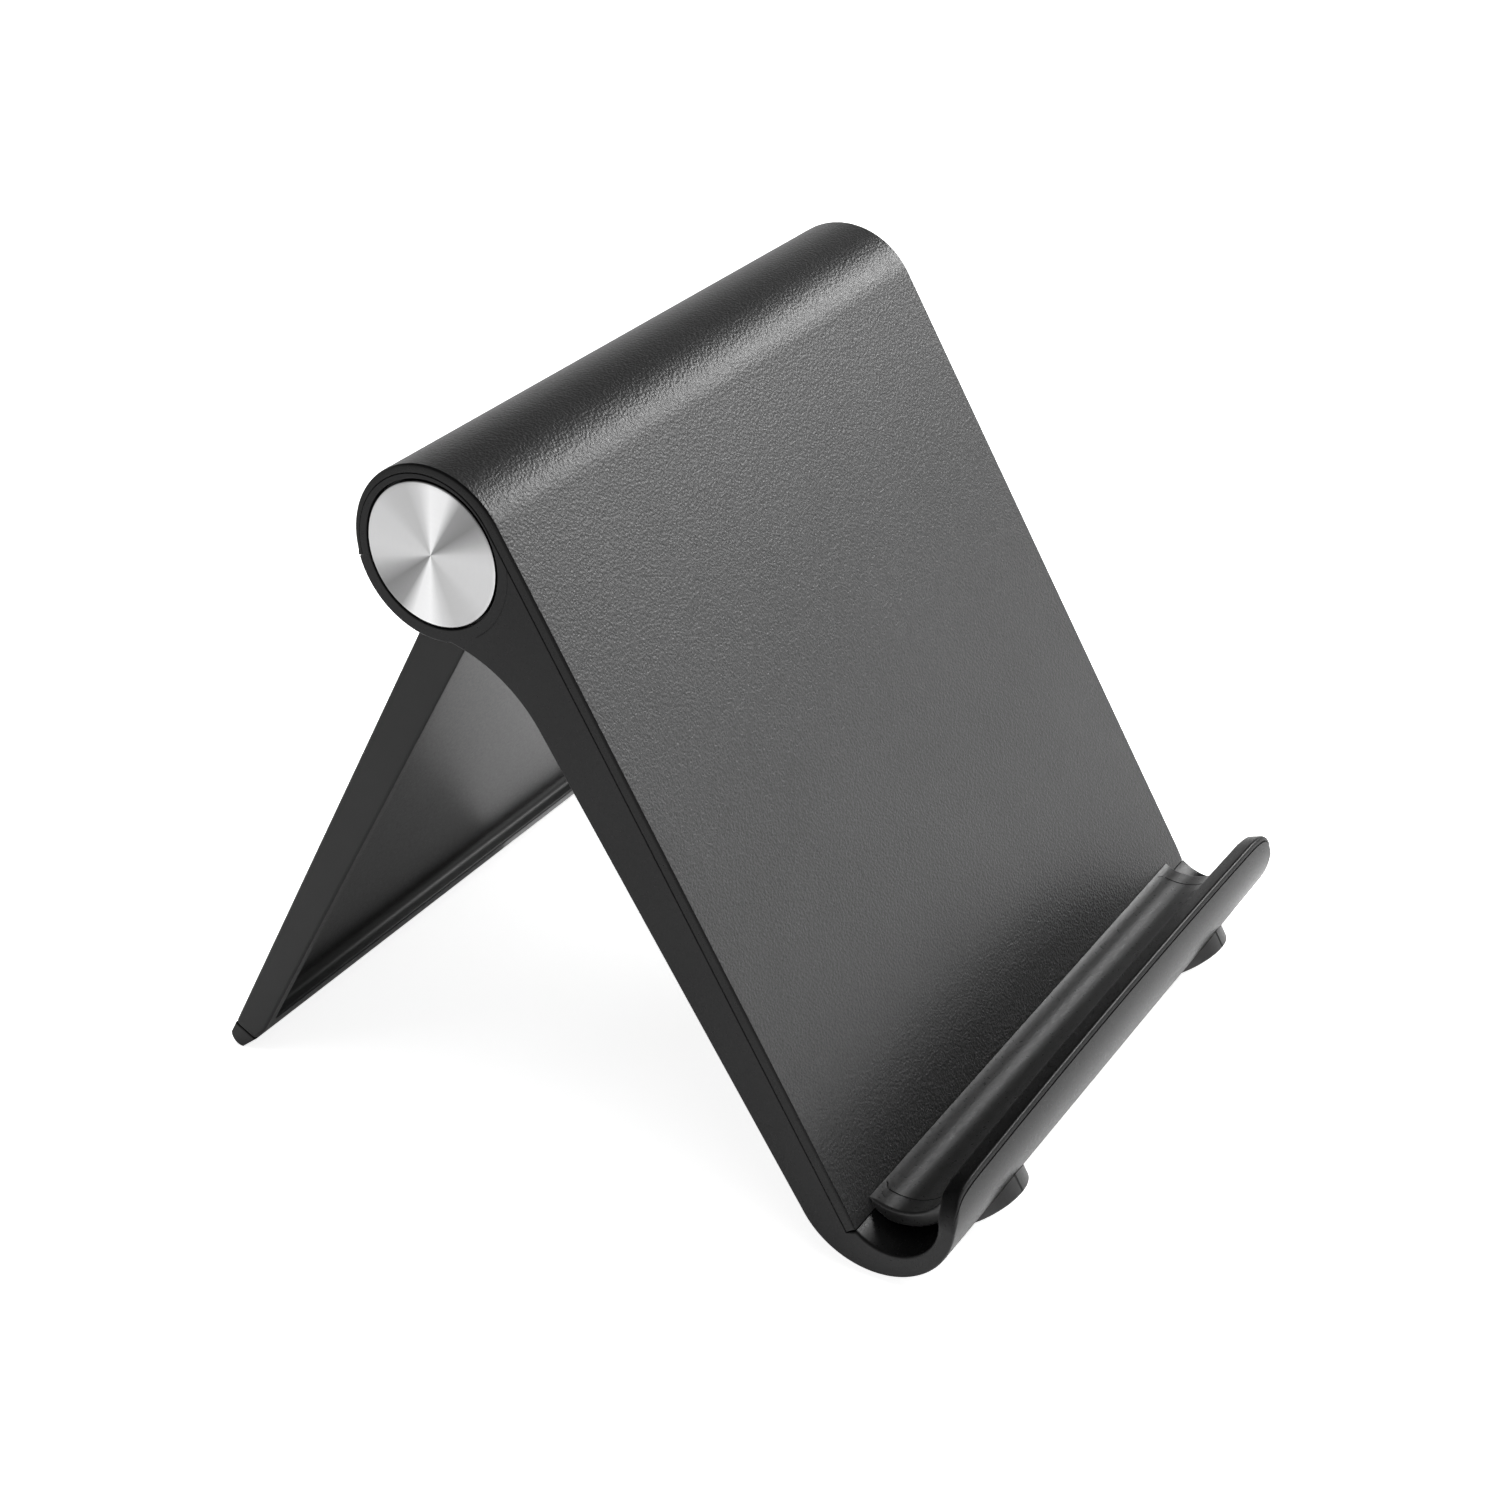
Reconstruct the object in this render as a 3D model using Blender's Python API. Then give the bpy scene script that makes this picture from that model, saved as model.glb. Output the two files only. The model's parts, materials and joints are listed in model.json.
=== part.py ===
"""Foldable phone stand: a front frame with a textured cover and a J-shaped hook, and a rear leg on a hinge.

Side profiles are drawn in two local frames that share the hinge centre as their origin. In the panel frame
+Z runs up the front panel and -Y points out of its face. In the leg frame the leg hangs along -Z and its
outer face looks along +Y. X runs along the hinge, from the stand's left side to its right. Two empties on
the hinge axis turn these frames into the standing pose: the feet under the hook and the tip of the leg touch
Z = 0, and the origin is below the middle of the object's box.
"""

import math

import bmesh
import bpy
from mathutils import Vector

MM = 0.001

# Overall sizes
WIDTH = 87.5 * MM
BARREL_RADIUS = 10.0 * MM
OPEN_ANGLE = math.radians(58.5)  # between the leg and the panel, as it stands

# Front cover: a sheet that lies on the frame's face and wraps over the hinge barrel
COVER_THICKNESS = 1.2 * MM
COVER_SEAT = -82.5 * MM  # below it the face draws back a little, behind the silicone strip
COVER_SEAT_DEPTH = 0.1 * MM
COVER_LOW_EDGE = -84.2 * MM
COVER_WRAP_END = 17.0  # degrees above the panel's +Y at the back of the barrel
COVER_END_GAP = 0.8  # degrees, between the cover's end and the frame's step
COVER_SIDE_INSET = 0.05 * MM

# Front frame
FRAME_FACE = 8.7 * MM  # radius under the cover's wrap, and distance of the face from the hinge plane
FRAME_WALL = 1.1 * MM
CHEEK_THICKNESS = 1.9 * MM
SHELL_END = 3.5  # degrees above +Y where the shell under the cover ends and stops the opening leg
BACK_EDGE_SLOPE = 0.0345  # the side walls get shallower towards the hook
BACK_EDGE_AT_HINGE = -1.405 * MM
WEB_RADIUS = 17.0 * MM
WEB_START = -22.0 * MM
POCKET_FLOOR = -86.5 * MM
POCKET_CORNER = 1.0 * MM

# Hook
TROUGH_CENTRE = (-15.6 * MM, -82.2 * MM)
TROUGH_RADIUS = 6.0 * MM
HOOK_CENTRE = (-14.2 * MM, -80.75 * MM)
HOOK_RADIUS = 9.9 * MM
LIP_CREST = (-22.3 * MM, -82.15 * MM)
LIP_SHOULDER = (-23.3 * MM, -82.5 * MM)
LIP_OUTER_ANGLE = 194.0  # on the hook's outer circle
LIP_CORNER_RADIUS = 4.0 * MM
LIP_CORNER_FOOT = -86.2 * MM
LIP_CUT_DEPTHS = (-26.0 * MM, -19.8 * MM)  # how far along Y the cut that rounds the lip's corners reaches

# Silicone strip in the hook
PAD_CENTRE = (-15.5 * MM, -78.93 * MM)
PAD_TOP_RADIUS = 6.57 * MM
PAD_THICKNESS = 1.73 * MM
PAD_END_INSET = 4.35 * MM
PAD_FRONT_EDGE = -82.45 * MM

# Round rubber feet under the hook
FOOT_X = 27.9 * MM
FOOT_RADIUS = 6.0 * MM
FOOT_SOLE = -90.95 * MM
FOOT_CHAMFER = 0.35 * MM
FOOT_HEEL_INSET = 1.0 * MM  # the middle of the heel facet, from the rim and from the sole
FOOT_HEEL_RISE = 0.53 * MM
FOOT_HEIGHT = 4.3 * MM
SADDLE_ARC = (200, 340)  # degrees on the hook's outer circle
SPIGOT_RADIUS = 3.0 * MM
SPIGOT_TOP = -89.3 * MM
SOLE_SKIN = 0.1 * MM  # the spigot starts this far inside the sole

# Rear leg
KNUCKLE_RADIUS = 7.3 * MM
LEG_SIDE_GAP = 0.35 * MM  # to each cheek
LEG_OUTER_FACE = -1.43 * MM
NOSE_CENTRE = (-2.85 * MM, -84.6 * MM)
NOSE_RADIUS = 1.6 * MM
NOSE_START = -84.3 * MM
LEG_BODY_END = -83.2 * MM
LEG_PLATE = 1.7 * MM
LEG_RIM_WIDTH = 1.65 * MM
LEG_RIM_TOP = (-7.0 * MM, -10.0 * MM)
LEG_RIM_LOW = (-5.35 * MM, -80.8 * MM)
LEG_HEEL = (-4.8 * MM, -83.2 * MM)
TRAY_TOP = -11.5 * MM
TRAY_LOW = -79.4 * MM
TRAY_FILLET = 1.4 * MM
TONGUE_DEPTH = 1.4 * MM
TONGUE_FACES = (-2.4 * MM, -3.3 * MM)

# Friction hinge, from the middle outwards along X
SHAFT_RADIUS = 2.0 * MM
SHAFT_CHAMFER = 0.3 * MM
SHAFT_FLAT = 1.65 * MM
RUNNING_GAP = 0.1 * MM
CUP_RADIUS = 6.0 * MM
CUP_BORE = 5.1 * MM
CUP_FLOOR = (34.2 * MM, 35.6 * MM)
COUNTERBORE_RADIUS = 6.3 * MM
COUNTERBORE_FLOOR = 33.5 * MM
FRICTION_WASHER_FACES = (33.6 * MM, 34.1 * MM)
FRICTION_WASHER_RADIUS = 5.6 * MM
BUSH_BORE = 2.2 * MM
BUSH_RADIUS = 2.8 * MM
BUSH_FLANGE = (35.7 * MM, 36.2 * MM)
BUSH_FLANGE_RADIUS = 4.6 * MM
FLAT_WASHER_FACES = (36.3 * MM, 37.0 * MM)
FLAT_WASHER_RADIUS = 4.5 * MM
SPRING_THICKNESS = 0.4 * MM
SPRING_CONE = 0.3 * MM
SPRING_RADIUS = 4.4 * MM
INNER_SPRING_X = 37.1 * MM
OUTER_SPRING_X = 37.9 * MM
NUT_FACES = (38.7 * MM, 41.2 * MM)
NUT_ACROSS_FLATS = 7.0 * MM
NUT_COLLAR = (3.4 * MM, 42.2 * MM)
INSERT_FACES = (41.1 * MM, 42.1 * MM)
INSERT_RADIUS = 2.9 * MM
INSERT_GAP = 0.05 * MM
SHAFT_HEAD_FACES = (37.1 * MM, 39.6 * MM)
SHAFT_HEAD_RADIUS = 3.8 * MM
SHAFT_END = 42.3 * MM

# Metal discs that close the hinge's ends
RECESS_RADIUS = 8.42 * MM
RECESS_FLOOR = 42.7 * MM
DISC_RADIUS = 8.17 * MM
DISC_FACES = (43.0 * MM, 43.8 * MM)
TAPE_FACES = (42.75 * MM, 42.95 * MM)
TAPE_RADII = (7.0 * MM, 8.0 * MM)
DISC_BEVEL = 0.15 * MM

OVERSHOOT = 1.0 * MM  # how far a cutter reaches past the face it opens

# Tessellation, in degrees for each facet
ARC_STEP = 6.0
SMALL_STEP = 12.0
HOLE_STEP = 10.0


def clear_scene():
    for obj in list(bpy.data.objects):
        bpy.data.objects.remove(obj)


def make_material(name, colour, roughness, metallic=0.0):
    material = bpy.data.materials.new(name)
    material.use_nodes = True
    shader = material.node_tree.nodes["Principled BSDF"]
    shader.inputs["Base Color"].default_value = (*colour, 1.0)
    shader.inputs["Roughness"].default_value = roughness
    shader.inputs["Metallic"].default_value = metallic
    return material


# ---- outlines: lists of (y, z) points in a side profile ----


def arc(centre, radius, start, end, step=ARC_STEP):
    """Points on a circle from one angle to the other, in degrees, 0 along +Y and 90 along +Z."""
    count = max(2, round(abs(end - start) / step))
    angles = [math.radians(start + (end - start) * i / count) for i in range(count + 1)]
    return [(centre[0] + radius * math.cos(a), centre[1] + radius * math.sin(a)) for a in angles]


def angle_of(point, centre=(0.0, 0.0)):
    return math.degrees(math.atan2(point[1] - centre[1], point[0] - centre[0]))


def angle_at_height(centre, radius, z):
    """The angle at which the +Y side of a circle passes a height."""
    return math.degrees(math.asin((z - centre[1]) / radius))


def circles_meet(first, first_radius, second, second_radius, side):
    """One of the two points shared by two circles; side is +1 or -1."""
    across = Vector(second) - Vector(first)
    distance = across.length
    along = (first_radius**2 - second_radius**2 + distance**2) / (2 * distance)
    height = math.sqrt(first_radius**2 - along**2)
    unit = across / distance
    return (
        first[0] + unit.x * along - side * unit.y * height,
        first[1] + unit.y * along + side * unit.x * height,
    )


def back_edge(z):
    return BACK_EDGE_AT_HINGE + BACK_EDGE_SLOPE * z


def turned(point, angle):
    """A (y, z) point turned about the hinge axis."""
    y, z = point
    return (y * math.cos(angle) - z * math.sin(angle), y * math.sin(angle) + z * math.cos(angle))


def leg_nose():
    """The rounded end of the leg's rubber grip, from the outer face to the inner heel."""
    return [(LEG_OUTER_FACE, NOSE_START), *arc(NOSE_CENTRE, NOSE_RADIUS, 335, 239, SMALL_STEP)]


def frame_outline():
    """The frame's full side outline: barrel, back edge with its web, and hook."""
    web_centre = (back_edge(WEB_START) + WEB_RADIUS, WEB_START)
    web_meets_barrel = circles_meet((0, 0), BARREL_RADIUS, web_centre, WEB_RADIUS, -1)
    step_angle = COVER_WRAP_END - COVER_END_GAP
    outline = arc((0, 0), FRAME_FACE, 180, step_angle)
    outline += arc((0, 0), BARREL_RADIUS, step_angle, angle_of(web_meets_barrel))
    outline += arc(web_centre, WEB_RADIUS, angle_of(web_meets_barrel, web_centre) % 360, 180)[1:]
    outline += arc(HOOK_CENTRE, HOOK_RADIUS, 0, LIP_OUTER_ANGLE - 360)
    outline += [LIP_SHOULDER, LIP_CREST]
    ledge = COVER_LOW_EDGE - RUNNING_GAP
    trough_end = 360 + angle_at_height(TROUGH_CENTRE, TROUGH_RADIUS, ledge)
    outline += arc(TROUGH_CENTRE, TROUGH_RADIUS, 181, trough_end)
    outline += [(-FRAME_FACE, ledge)]
    return outline


def frame_cavity():
    """The hollow between the cheeks: the bore for the knuckle and the pocket that the leg folds into."""
    bore = FRAME_FACE - FRAME_WALL
    beyond = 16 * MM
    corner = (-bore + POCKET_CORNER, POCKET_FLOOR + POCKET_CORNER)
    outline = arc((0, 0), bore, SHELL_END, 180)
    outline += arc(corner, POCKET_CORNER, 180, 270, SMALL_STEP)
    outline += [(beyond, POCKET_FLOOR), (beyond, beyond * math.tan(math.radians(SHELL_END)))]
    return outline


def cover_outline():
    inner = BARREL_RADIUS - COVER_THICKNESS
    outline = arc((0, 0), BARREL_RADIUS, COVER_WRAP_END, 180)
    outline += [(-BARREL_RADIUS, COVER_SEAT), (COVER_SEAT_DEPTH - BARREL_RADIUS, COVER_LOW_EDGE)]
    outline += [(-inner, COVER_LOW_EDGE)]
    outline += arc((0, 0), inner, 180, COVER_WRAP_END)
    return outline


def pad_outline():
    """A bridge-shaped strip: concave on top, wedged between cover and lip, hollow below its middle."""
    seat = TROUGH_RADIUS - RUNNING_GAP
    cover_face = -BARREL_RADIUS - RUNNING_GAP
    low_radius = PAD_TOP_RADIUS + PAD_THICKNESS
    low_front = circles_meet(PAD_CENTRE, low_radius, TROUGH_CENTRE, seat, -1)
    low_back = circles_meet(PAD_CENTRE, low_radius, TROUGH_CENTRE, seat, 1)
    back = -math.degrees(math.acos((cover_face - PAD_CENTRE[0]) / PAD_TOP_RADIUS))
    front = 180 - angle_at_height(PAD_CENTRE, PAD_TOP_RADIUS, PAD_FRONT_EDGE)
    seat_back = -math.degrees(math.acos((cover_face - TROUGH_CENTRE[0]) / seat))
    seat_front = 180 - angle_at_height(TROUGH_CENTRE, seat, PAD_FRONT_EDGE)
    outline = arc(PAD_CENTRE, PAD_TOP_RADIUS, back, front - 360)
    outline += arc(TROUGH_CENTRE, seat, seat_front, angle_of(low_front, TROUGH_CENTRE) % 360)
    low_start, low_end = angle_of(low_front, PAD_CENTRE), angle_of(low_back, PAD_CENTRE)
    outline += arc(PAD_CENTRE, low_radius, low_start, low_end)[1:]
    outline += arc(TROUGH_CENTRE, seat, angle_of(low_back, TROUGH_CENTRE), seat_back)[1:]
    return outline


def leg_outline():
    meets_knuckle = -math.sqrt(KNUCKLE_RADIUS**2 - LEG_OUTER_FACE**2)
    start = angle_of((LEG_OUTER_FACE, meets_knuckle)) % 360
    outline = arc((0, 0), KNUCKLE_RADIUS, 180, start - 360)
    outline += [(LEG_OUTER_FACE, LEG_BODY_END), LEG_HEEL, LEG_RIM_LOW, LEG_RIM_TOP]
    return outline


def tray_outline():
    """The hollow of the leg's inner side, with a fillet where its floor rises to the bottom rim."""
    floor = LEG_OUTER_FACE - LEG_PLATE
    beyond = -12 * MM
    fillet_centre = (floor - TRAY_FILLET, TRAY_LOW + TRAY_FILLET)
    outline = [(floor, TRAY_TOP), (beyond, TRAY_TOP), (beyond, TRAY_LOW)]
    outline += arc(fillet_centre, TRAY_FILLET, 270, 360, SMALL_STEP)
    return outline


def grip_outline():
    """Rubber strip on the leg's end: a rounded nose with a tongue in the leg's slot."""
    base = LEG_BODY_END - RUNNING_GAP
    tongue_top = base + TONGUE_DEPTH
    near, far = TONGUE_FACES[0] - RUNNING_GAP, TONGUE_FACES[1] + RUNNING_GAP
    outline = [(LEG_OUTER_FACE, base), *leg_nose()]
    outline += [(LEG_HEEL[0] + RUNNING_GAP, base), (far, base), (far, tongue_top)]
    outline += [(near, tongue_top), (near, base)]
    return outline


# ---- solids ----


def finish(name, mesh_builder, material=None, parent=None, smooth=True):
    bmesh.ops.recalc_face_normals(mesh_builder, faces=mesh_builder.faces)
    mesh = bpy.data.meshes.new(name)
    mesh_builder.to_mesh(mesh)
    mesh_builder.free()
    obj = bpy.data.objects.new(name, mesh)
    bpy.context.scene.collection.objects.link(obj)
    obj.parent = parent
    if material:
        mesh.materials.append(material)
    if smooth:
        mesh.shade_smooth()
        mesh.set_sharp_from_angle(angle=math.radians(30))
    return obj


def prism(name, outline, low_x, high_x, material=None, parent=None):
    """A side profile stretched along X."""
    builder = bmesh.new()
    base = [builder.verts.new((low_x, y, z)) for y, z in outline]
    face = builder.faces.new(base)
    pushed = bmesh.ops.extrude_face_region(builder, geom=[face])
    moved = [item for item in pushed["geom"] if isinstance(item, bmesh.types.BMVert)]
    bmesh.ops.translate(builder, verts=moved, vec=(high_x - low_x, 0, 0))
    return finish(name, builder, material, parent)


def lathe(name, profile, axis="X", centre=(0, 0, 0), step=SMALL_STEP, material=None, parent=None):
    """A closed (along, radius) profile turned about an axis; a radius of 0 closes on the axis."""
    builder = bmesh.new()
    count = round(360 / step)
    rings = []
    for along, radius in profile:
        turns = count if radius > 0 else 1
        ring = []
        for i in range(turns):
            angle = 2 * math.pi * i / count
            side, up = radius * math.cos(angle), radius * math.sin(angle)
            place = (along, side, up) if axis == "X" else (side, up, along)
            ring.append(builder.verts.new(Vector(centre) + Vector(place)))
        rings.append(ring)
    for first, second in zip(rings, rings[1:] + rings[:1]):
        if len(first) == 1 and len(second) == 1:
            continue
        for i in range(count):
            corners = [first[i % len(first)], first[(i + 1) % len(first)]]
            corners += [second[(i + 1) % len(second)], second[i % len(second)]]
            builder.faces.new(list(dict.fromkeys(corners)))
    return finish(name, builder, material, parent)


def ring_profile(faces, inner, outer):
    low, high = faces
    return [(low, inner), (low, outer), (high, outer), (high, inner)]


def rod_profile(faces, radius):
    low, high = faces
    return [(low, 0.0), (low, radius), (high, radius), (high, 0.0)]


def mirrored(profile, side):
    return [(side * along, radius) for along, radius in profile]


def as_cutter(obj):
    obj.hide_render = True
    obj.display_type = "WIRE"
    return obj


def combine(obj, operation, others):
    for other in others:
        as_cutter(other)
        modifier = obj.modifiers.new(other.name, "BOOLEAN")
        modifier.operation = operation
        modifier.solver = "EXACT"
        modifier.object = other


SIDES = (("left", -1), ("right", 1))


def corner_cutter(name, side, parent):
    """What rounds one upper end of the lip, seen from the front: a square corner less a quarter circle."""
    edge = WIDTH / 2 + OVERSHOOT
    centre_x = WIDTH / 2 - LIP_CORNER_RADIUS
    top = LIP_CORNER_FOOT + LIP_CORNER_RADIUS + OVERSHOOT
    quarter = arc((centre_x, LIP_CORNER_FOOT), LIP_CORNER_RADIUS, 90, 0, SMALL_STEP)
    outline = [(edge, LIP_CORNER_FOOT), (edge, top), (centre_x, top), *quarter]
    low, high = LIP_CUT_DEPTHS
    builder = bmesh.new()
    face = builder.faces.new([builder.verts.new((side * x, low, z)) for x, z in outline])
    pushed = bmesh.ops.extrude_face_region(builder, geom=[face])
    moved = [item for item in pushed["geom"] if isinstance(item, bmesh.types.BMVert)]
    bmesh.ops.translate(builder, verts=moved, vec=(0, high - low, 0))
    return finish(name, builder, None, parent)


def make_front_frame(material, parent):
    half = WIDTH / 2
    inside = half - CHEEK_THICKNESS
    frame = prism("front_frame", frame_outline(), -half, half, material, parent)
    cavity = prism("frame_cavity", frame_cavity(), -inside, inside, parent=parent)
    combine(frame, "DIFFERENCE", [cavity])
    beyond = half + OVERSHOOT
    for label, side in SIDES:
        cup = mirrored(rod_profile((CUP_FLOOR[0], inside + CHEEK_THICKNESS / 4), CUP_RADIUS), side)
        combine(frame, "UNION", [lathe(f"hinge_cup_{label}", cup, step=HOLE_STEP, parent=parent)])
        bore = [
            (CUP_FLOOR[0] - OVERSHOOT, 0.0),
            (CUP_FLOOR[0] - OVERSHOOT, BUSH_RADIUS + RUNNING_GAP),
            (CUP_FLOOR[1], BUSH_RADIUS + RUNNING_GAP),
            (CUP_FLOOR[1], CUP_BORE),
            (RECESS_FLOOR, CUP_BORE),
            (RECESS_FLOOR, RECESS_RADIUS),
            (beyond, RECESS_RADIUS),
            (beyond, 0.0),
        ]
        hole = lathe(f"hinge_bore_{label}", mirrored(bore, side), step=HOLE_STEP, parent=parent)
        corner = corner_cutter(f"lip_corner_{label}", side, parent)
        socket = rod_profile((SPIGOT_TOP + RUNNING_GAP, FOOT_SOLE), SPIGOT_RADIUS + 2 * RUNNING_GAP)
        place = (side * FOOT_X, HOOK_CENTRE[0], 0)
        foot_hole = lathe(f"foot_socket_{label}", socket, "Z", place, parent=parent)
        combine(frame, "DIFFERENCE", [hole, corner, foot_hole])
    return frame


def make_front_cover(material, parent):
    half = WIDTH / 2 - COVER_SIDE_INSET
    return prism("front_cover", cover_outline(), -half, half, material, parent)


def make_hook_pad(material, parent):
    half = WIDTH / 2 - PAD_END_INSET
    return prism("hook_pad", pad_outline(), -half, half, material, parent)


def make_foot(label, side, lean, material, parent):
    """A round foot: a saddle that fits the hook, a push-in spigot and a heel facet that lies on the desk."""
    chamfered = [
        (FOOT_SOLE, 0.0),
        (FOOT_SOLE, FOOT_RADIUS - FOOT_CHAMFER),
        (FOOT_SOLE + FOOT_CHAMFER, FOOT_RADIUS),
        (FOOT_SOLE + FOOT_HEIGHT, FOOT_RADIUS),
        (FOOT_SOLE + FOOT_HEIGHT, 0.0),
    ]
    place = (side * FOOT_X, HOOK_CENTRE[0], 0)
    foot = lathe(f"foot_{label}", chamfered, "Z", place, HOLE_STEP, material, parent)
    hook = arc(HOOK_CENTRE, HOOK_RADIUS + RUNNING_GAP, *SADDLE_ARC)
    hook += [(hook[-1][0], HOOK_CENTRE[1]), (hook[0][0], HOOK_CENTRE[1])]
    reach = FOOT_RADIUS + OVERSHOOT
    saddle = prism(f"saddle_{label}", hook, side * FOOT_X - reach, side * FOOT_X + reach, parent=parent)
    combine(foot, "DIFFERENCE", [saddle])
    spigot = rod_profile((FOOT_SOLE + SOLE_SKIN, SPIGOT_TOP), SPIGOT_RADIUS)
    combine(foot, "UNION", [lathe(f"spigot_{label}", spigot, "Z", place, parent=parent)])
    heel = heel_point()
    along = Vector((math.cos(lean), math.sin(lean))) * 2 * FOOT_RADIUS
    below = Vector((math.sin(lean), -math.cos(lean))) * FOOT_RADIUS
    start, end = heel - along, heel + along
    wedge = [tuple(start), tuple(end), tuple(end + below), tuple(start + below)]
    heel_cut = prism(f"heel_{label}", wedge, side * FOOT_X - reach, side * FOOT_X + reach, parent=parent)
    combine(foot, "DIFFERENCE", [heel_cut])
    return foot


def make_rear_leg(material, parent):
    half = WIDTH / 2 - CHEEK_THICKNESS - LEG_SIDE_GAP
    leg = prism("rear_leg", leg_outline(), -half, half, material, parent)
    tray_half = half - LEG_RIM_WIDTH
    tray = prism("leg_tray", tray_outline(), -tray_half, tray_half, parent=parent)
    near, far = TONGUE_FACES
    top = LEG_BODY_END + TONGUE_DEPTH + RUNNING_GAP
    low = LEG_BODY_END - OVERSHOOT
    slot_outline = [(near, low), (near, top), (far, top), (far, low)]
    slot = prism("grip_slot", slot_outline, -half - OVERSHOOT, half + OVERSHOOT, parent=parent)
    flat = math.degrees(math.asin((SHAFT_FLAT + RUNNING_GAP) / (SHAFT_RADIUS + RUNNING_GAP)))
    keyed = arc((0, 0), SHAFT_RADIUS + RUNNING_GAP, 180 - flat, 360 + flat, SMALL_STEP)
    reach = COUNTERBORE_FLOOR + OVERSHOOT
    bore = prism("shaft_bore", keyed, -reach, reach, parent=parent)
    combine(leg, "DIFFERENCE", [tray, slot, bore])
    for label, side in SIDES:
        counterbore = mirrored(rod_profile((COUNTERBORE_FLOOR, half + OVERSHOOT), COUNTERBORE_RADIUS), side)
        combine(leg, "DIFFERENCE", [lathe(f"counterbore_{label}", counterbore, parent=parent)])
    return leg


def make_leg_grip(material, parent):
    """The rubber nose of the leg, which stands on the desk along one line."""
    half = WIDTH / 2 - CHEEK_THICKNESS - LEG_SIDE_GAP
    return prism("leg_grip", grip_outline(), -half, half, material, parent)


def make_shaft(material, parent):
    head_low, head_high = SHAFT_HEAD_FACES
    profile = [
        (SHAFT_END, 0.0),
        (SHAFT_END, SHAFT_RADIUS - SHAFT_CHAMFER),
        (SHAFT_END - SHAFT_CHAMFER, SHAFT_RADIUS),
        (-head_low, SHAFT_RADIUS),
        (-head_low, SHAFT_HEAD_RADIUS),
        (-head_high + SHAFT_CHAMFER, SHAFT_HEAD_RADIUS),
        (-head_high, SHAFT_HEAD_RADIUS - SHAFT_CHAMFER),
        (-head_high, 0.0),
    ]
    shaft = lathe("hinge_shaft", profile, material=material, parent=parent)
    reach = COUNTERBORE_FLOOR + RUNNING_GAP
    side = SHAFT_RADIUS + OVERSHOOT
    flat_outline = [(-side, SHAFT_FLAT), (side, SHAFT_FLAT), (side, side), (-side, side)]
    combine(shaft, "DIFFERENCE", [prism("shaft_flat", flat_outline, -reach, reach, parent=parent)])
    return shaft


def make_washer(name, faces, inner, outer, side, material, parent):
    return lathe(name, mirrored(ring_profile(faces, inner, outer), side), material=material, parent=parent)


def make_bush(label, side, material, parent):
    inner_face, outer_face = CUP_FLOOR[0] + RUNNING_GAP / 2, BUSH_FLANGE[1]
    profile = [
        (inner_face, BUSH_BORE),
        (inner_face, BUSH_RADIUS),
        (BUSH_FLANGE[0], BUSH_RADIUS),
        (BUSH_FLANGE[0], BUSH_FLANGE_RADIUS),
        (outer_face, BUSH_FLANGE_RADIUS),
        (outer_face, BUSH_BORE),
    ]
    return lathe(f"bush_{label}", mirrored(profile, side), material=material, parent=parent)


def make_spring_washer(name, start, opens_outwards, material, parent):
    """A disc spring: a flat ring dished into a shallow cone."""
    inner, outer = SHAFT_RADIUS + RUNNING_GAP, SPRING_RADIUS
    rise_inner = 0.0 if opens_outwards else SPRING_CONE
    rise_outer = SPRING_CONE - rise_inner
    profile = [
        (start + rise_inner, inner),
        (start + rise_outer, outer),
        (start + rise_outer + SPRING_THICKNESS, outer),
        (start + rise_inner + SPRING_THICKNESS, inner),
    ]
    return lathe(name, profile, material=material, parent=parent)


def make_lock_nut(material, parent):
    low, high = NUT_FACES
    corner = NUT_ACROSS_FLATS / 2 / math.cos(math.radians(30))
    nut = prism("lock_nut", arc((0, 0), corner, 0, 300, 60), low, high, material, parent)
    collar_radius, collar_end = NUT_COLLAR
    collar = rod_profile((high - OVERSHOOT, collar_end), collar_radius)
    combine(nut, "UNION", [lathe("nut_collar", collar, parent=parent)])
    seat = INSERT_FACES[0] - INSERT_GAP
    bore = [
        (low - OVERSHOOT, 0.0),
        (low - OVERSHOOT, SHAFT_RADIUS + RUNNING_GAP),
        (seat, SHAFT_RADIUS + RUNNING_GAP),
        (seat, INSERT_RADIUS + INSERT_GAP),
        (collar_end + OVERSHOOT, INSERT_RADIUS + INSERT_GAP),
        (collar_end + OVERSHOOT, 0.0),
    ]
    combine(nut, "DIFFERENCE", [lathe("nut_bore", bore, parent=parent)])
    return nut


def make_end_disc(label, side, material, parent):
    low, high = DISC_FACES
    profile = [
        (low, 0.0),
        (low, DISC_RADIUS),
        (high - DISC_BEVEL, DISC_RADIUS),
        (high, DISC_RADIUS - DISC_BEVEL),
        (high, 0.0),
    ]
    name = f"end_disc_{label}"
    return lathe(name, mirrored(profile, side), step=ARC_STEP, material=material, parent=parent)


def pose_empty(name, location, angle):
    empty = bpy.data.objects.new(name, None)
    empty.empty_display_size = 20 * MM
    empty.location = location
    empty.rotation_euler = (angle, 0, 0)
    bpy.context.scene.collection.objects.link(empty)
    return empty


def heel_point():
    """The middle of the feet's heel facets, in the panel frame."""
    rim = HOOK_CENTRE[0] + FOOT_RADIUS
    return Vector((rim - FOOT_HEEL_INSET, FOOT_SOLE + FOOT_HEEL_RISE))


def standing_lean():
    """How far the panel leans back when its heels and the leg's nose both touch the desk."""
    reach = Vector(turned(NOSE_CENTRE, OPEN_ANGLE)) - heel_point()
    return math.atan2(reach.y, reach.x) - math.asin(NOSE_RADIUS / reach.length)


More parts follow.
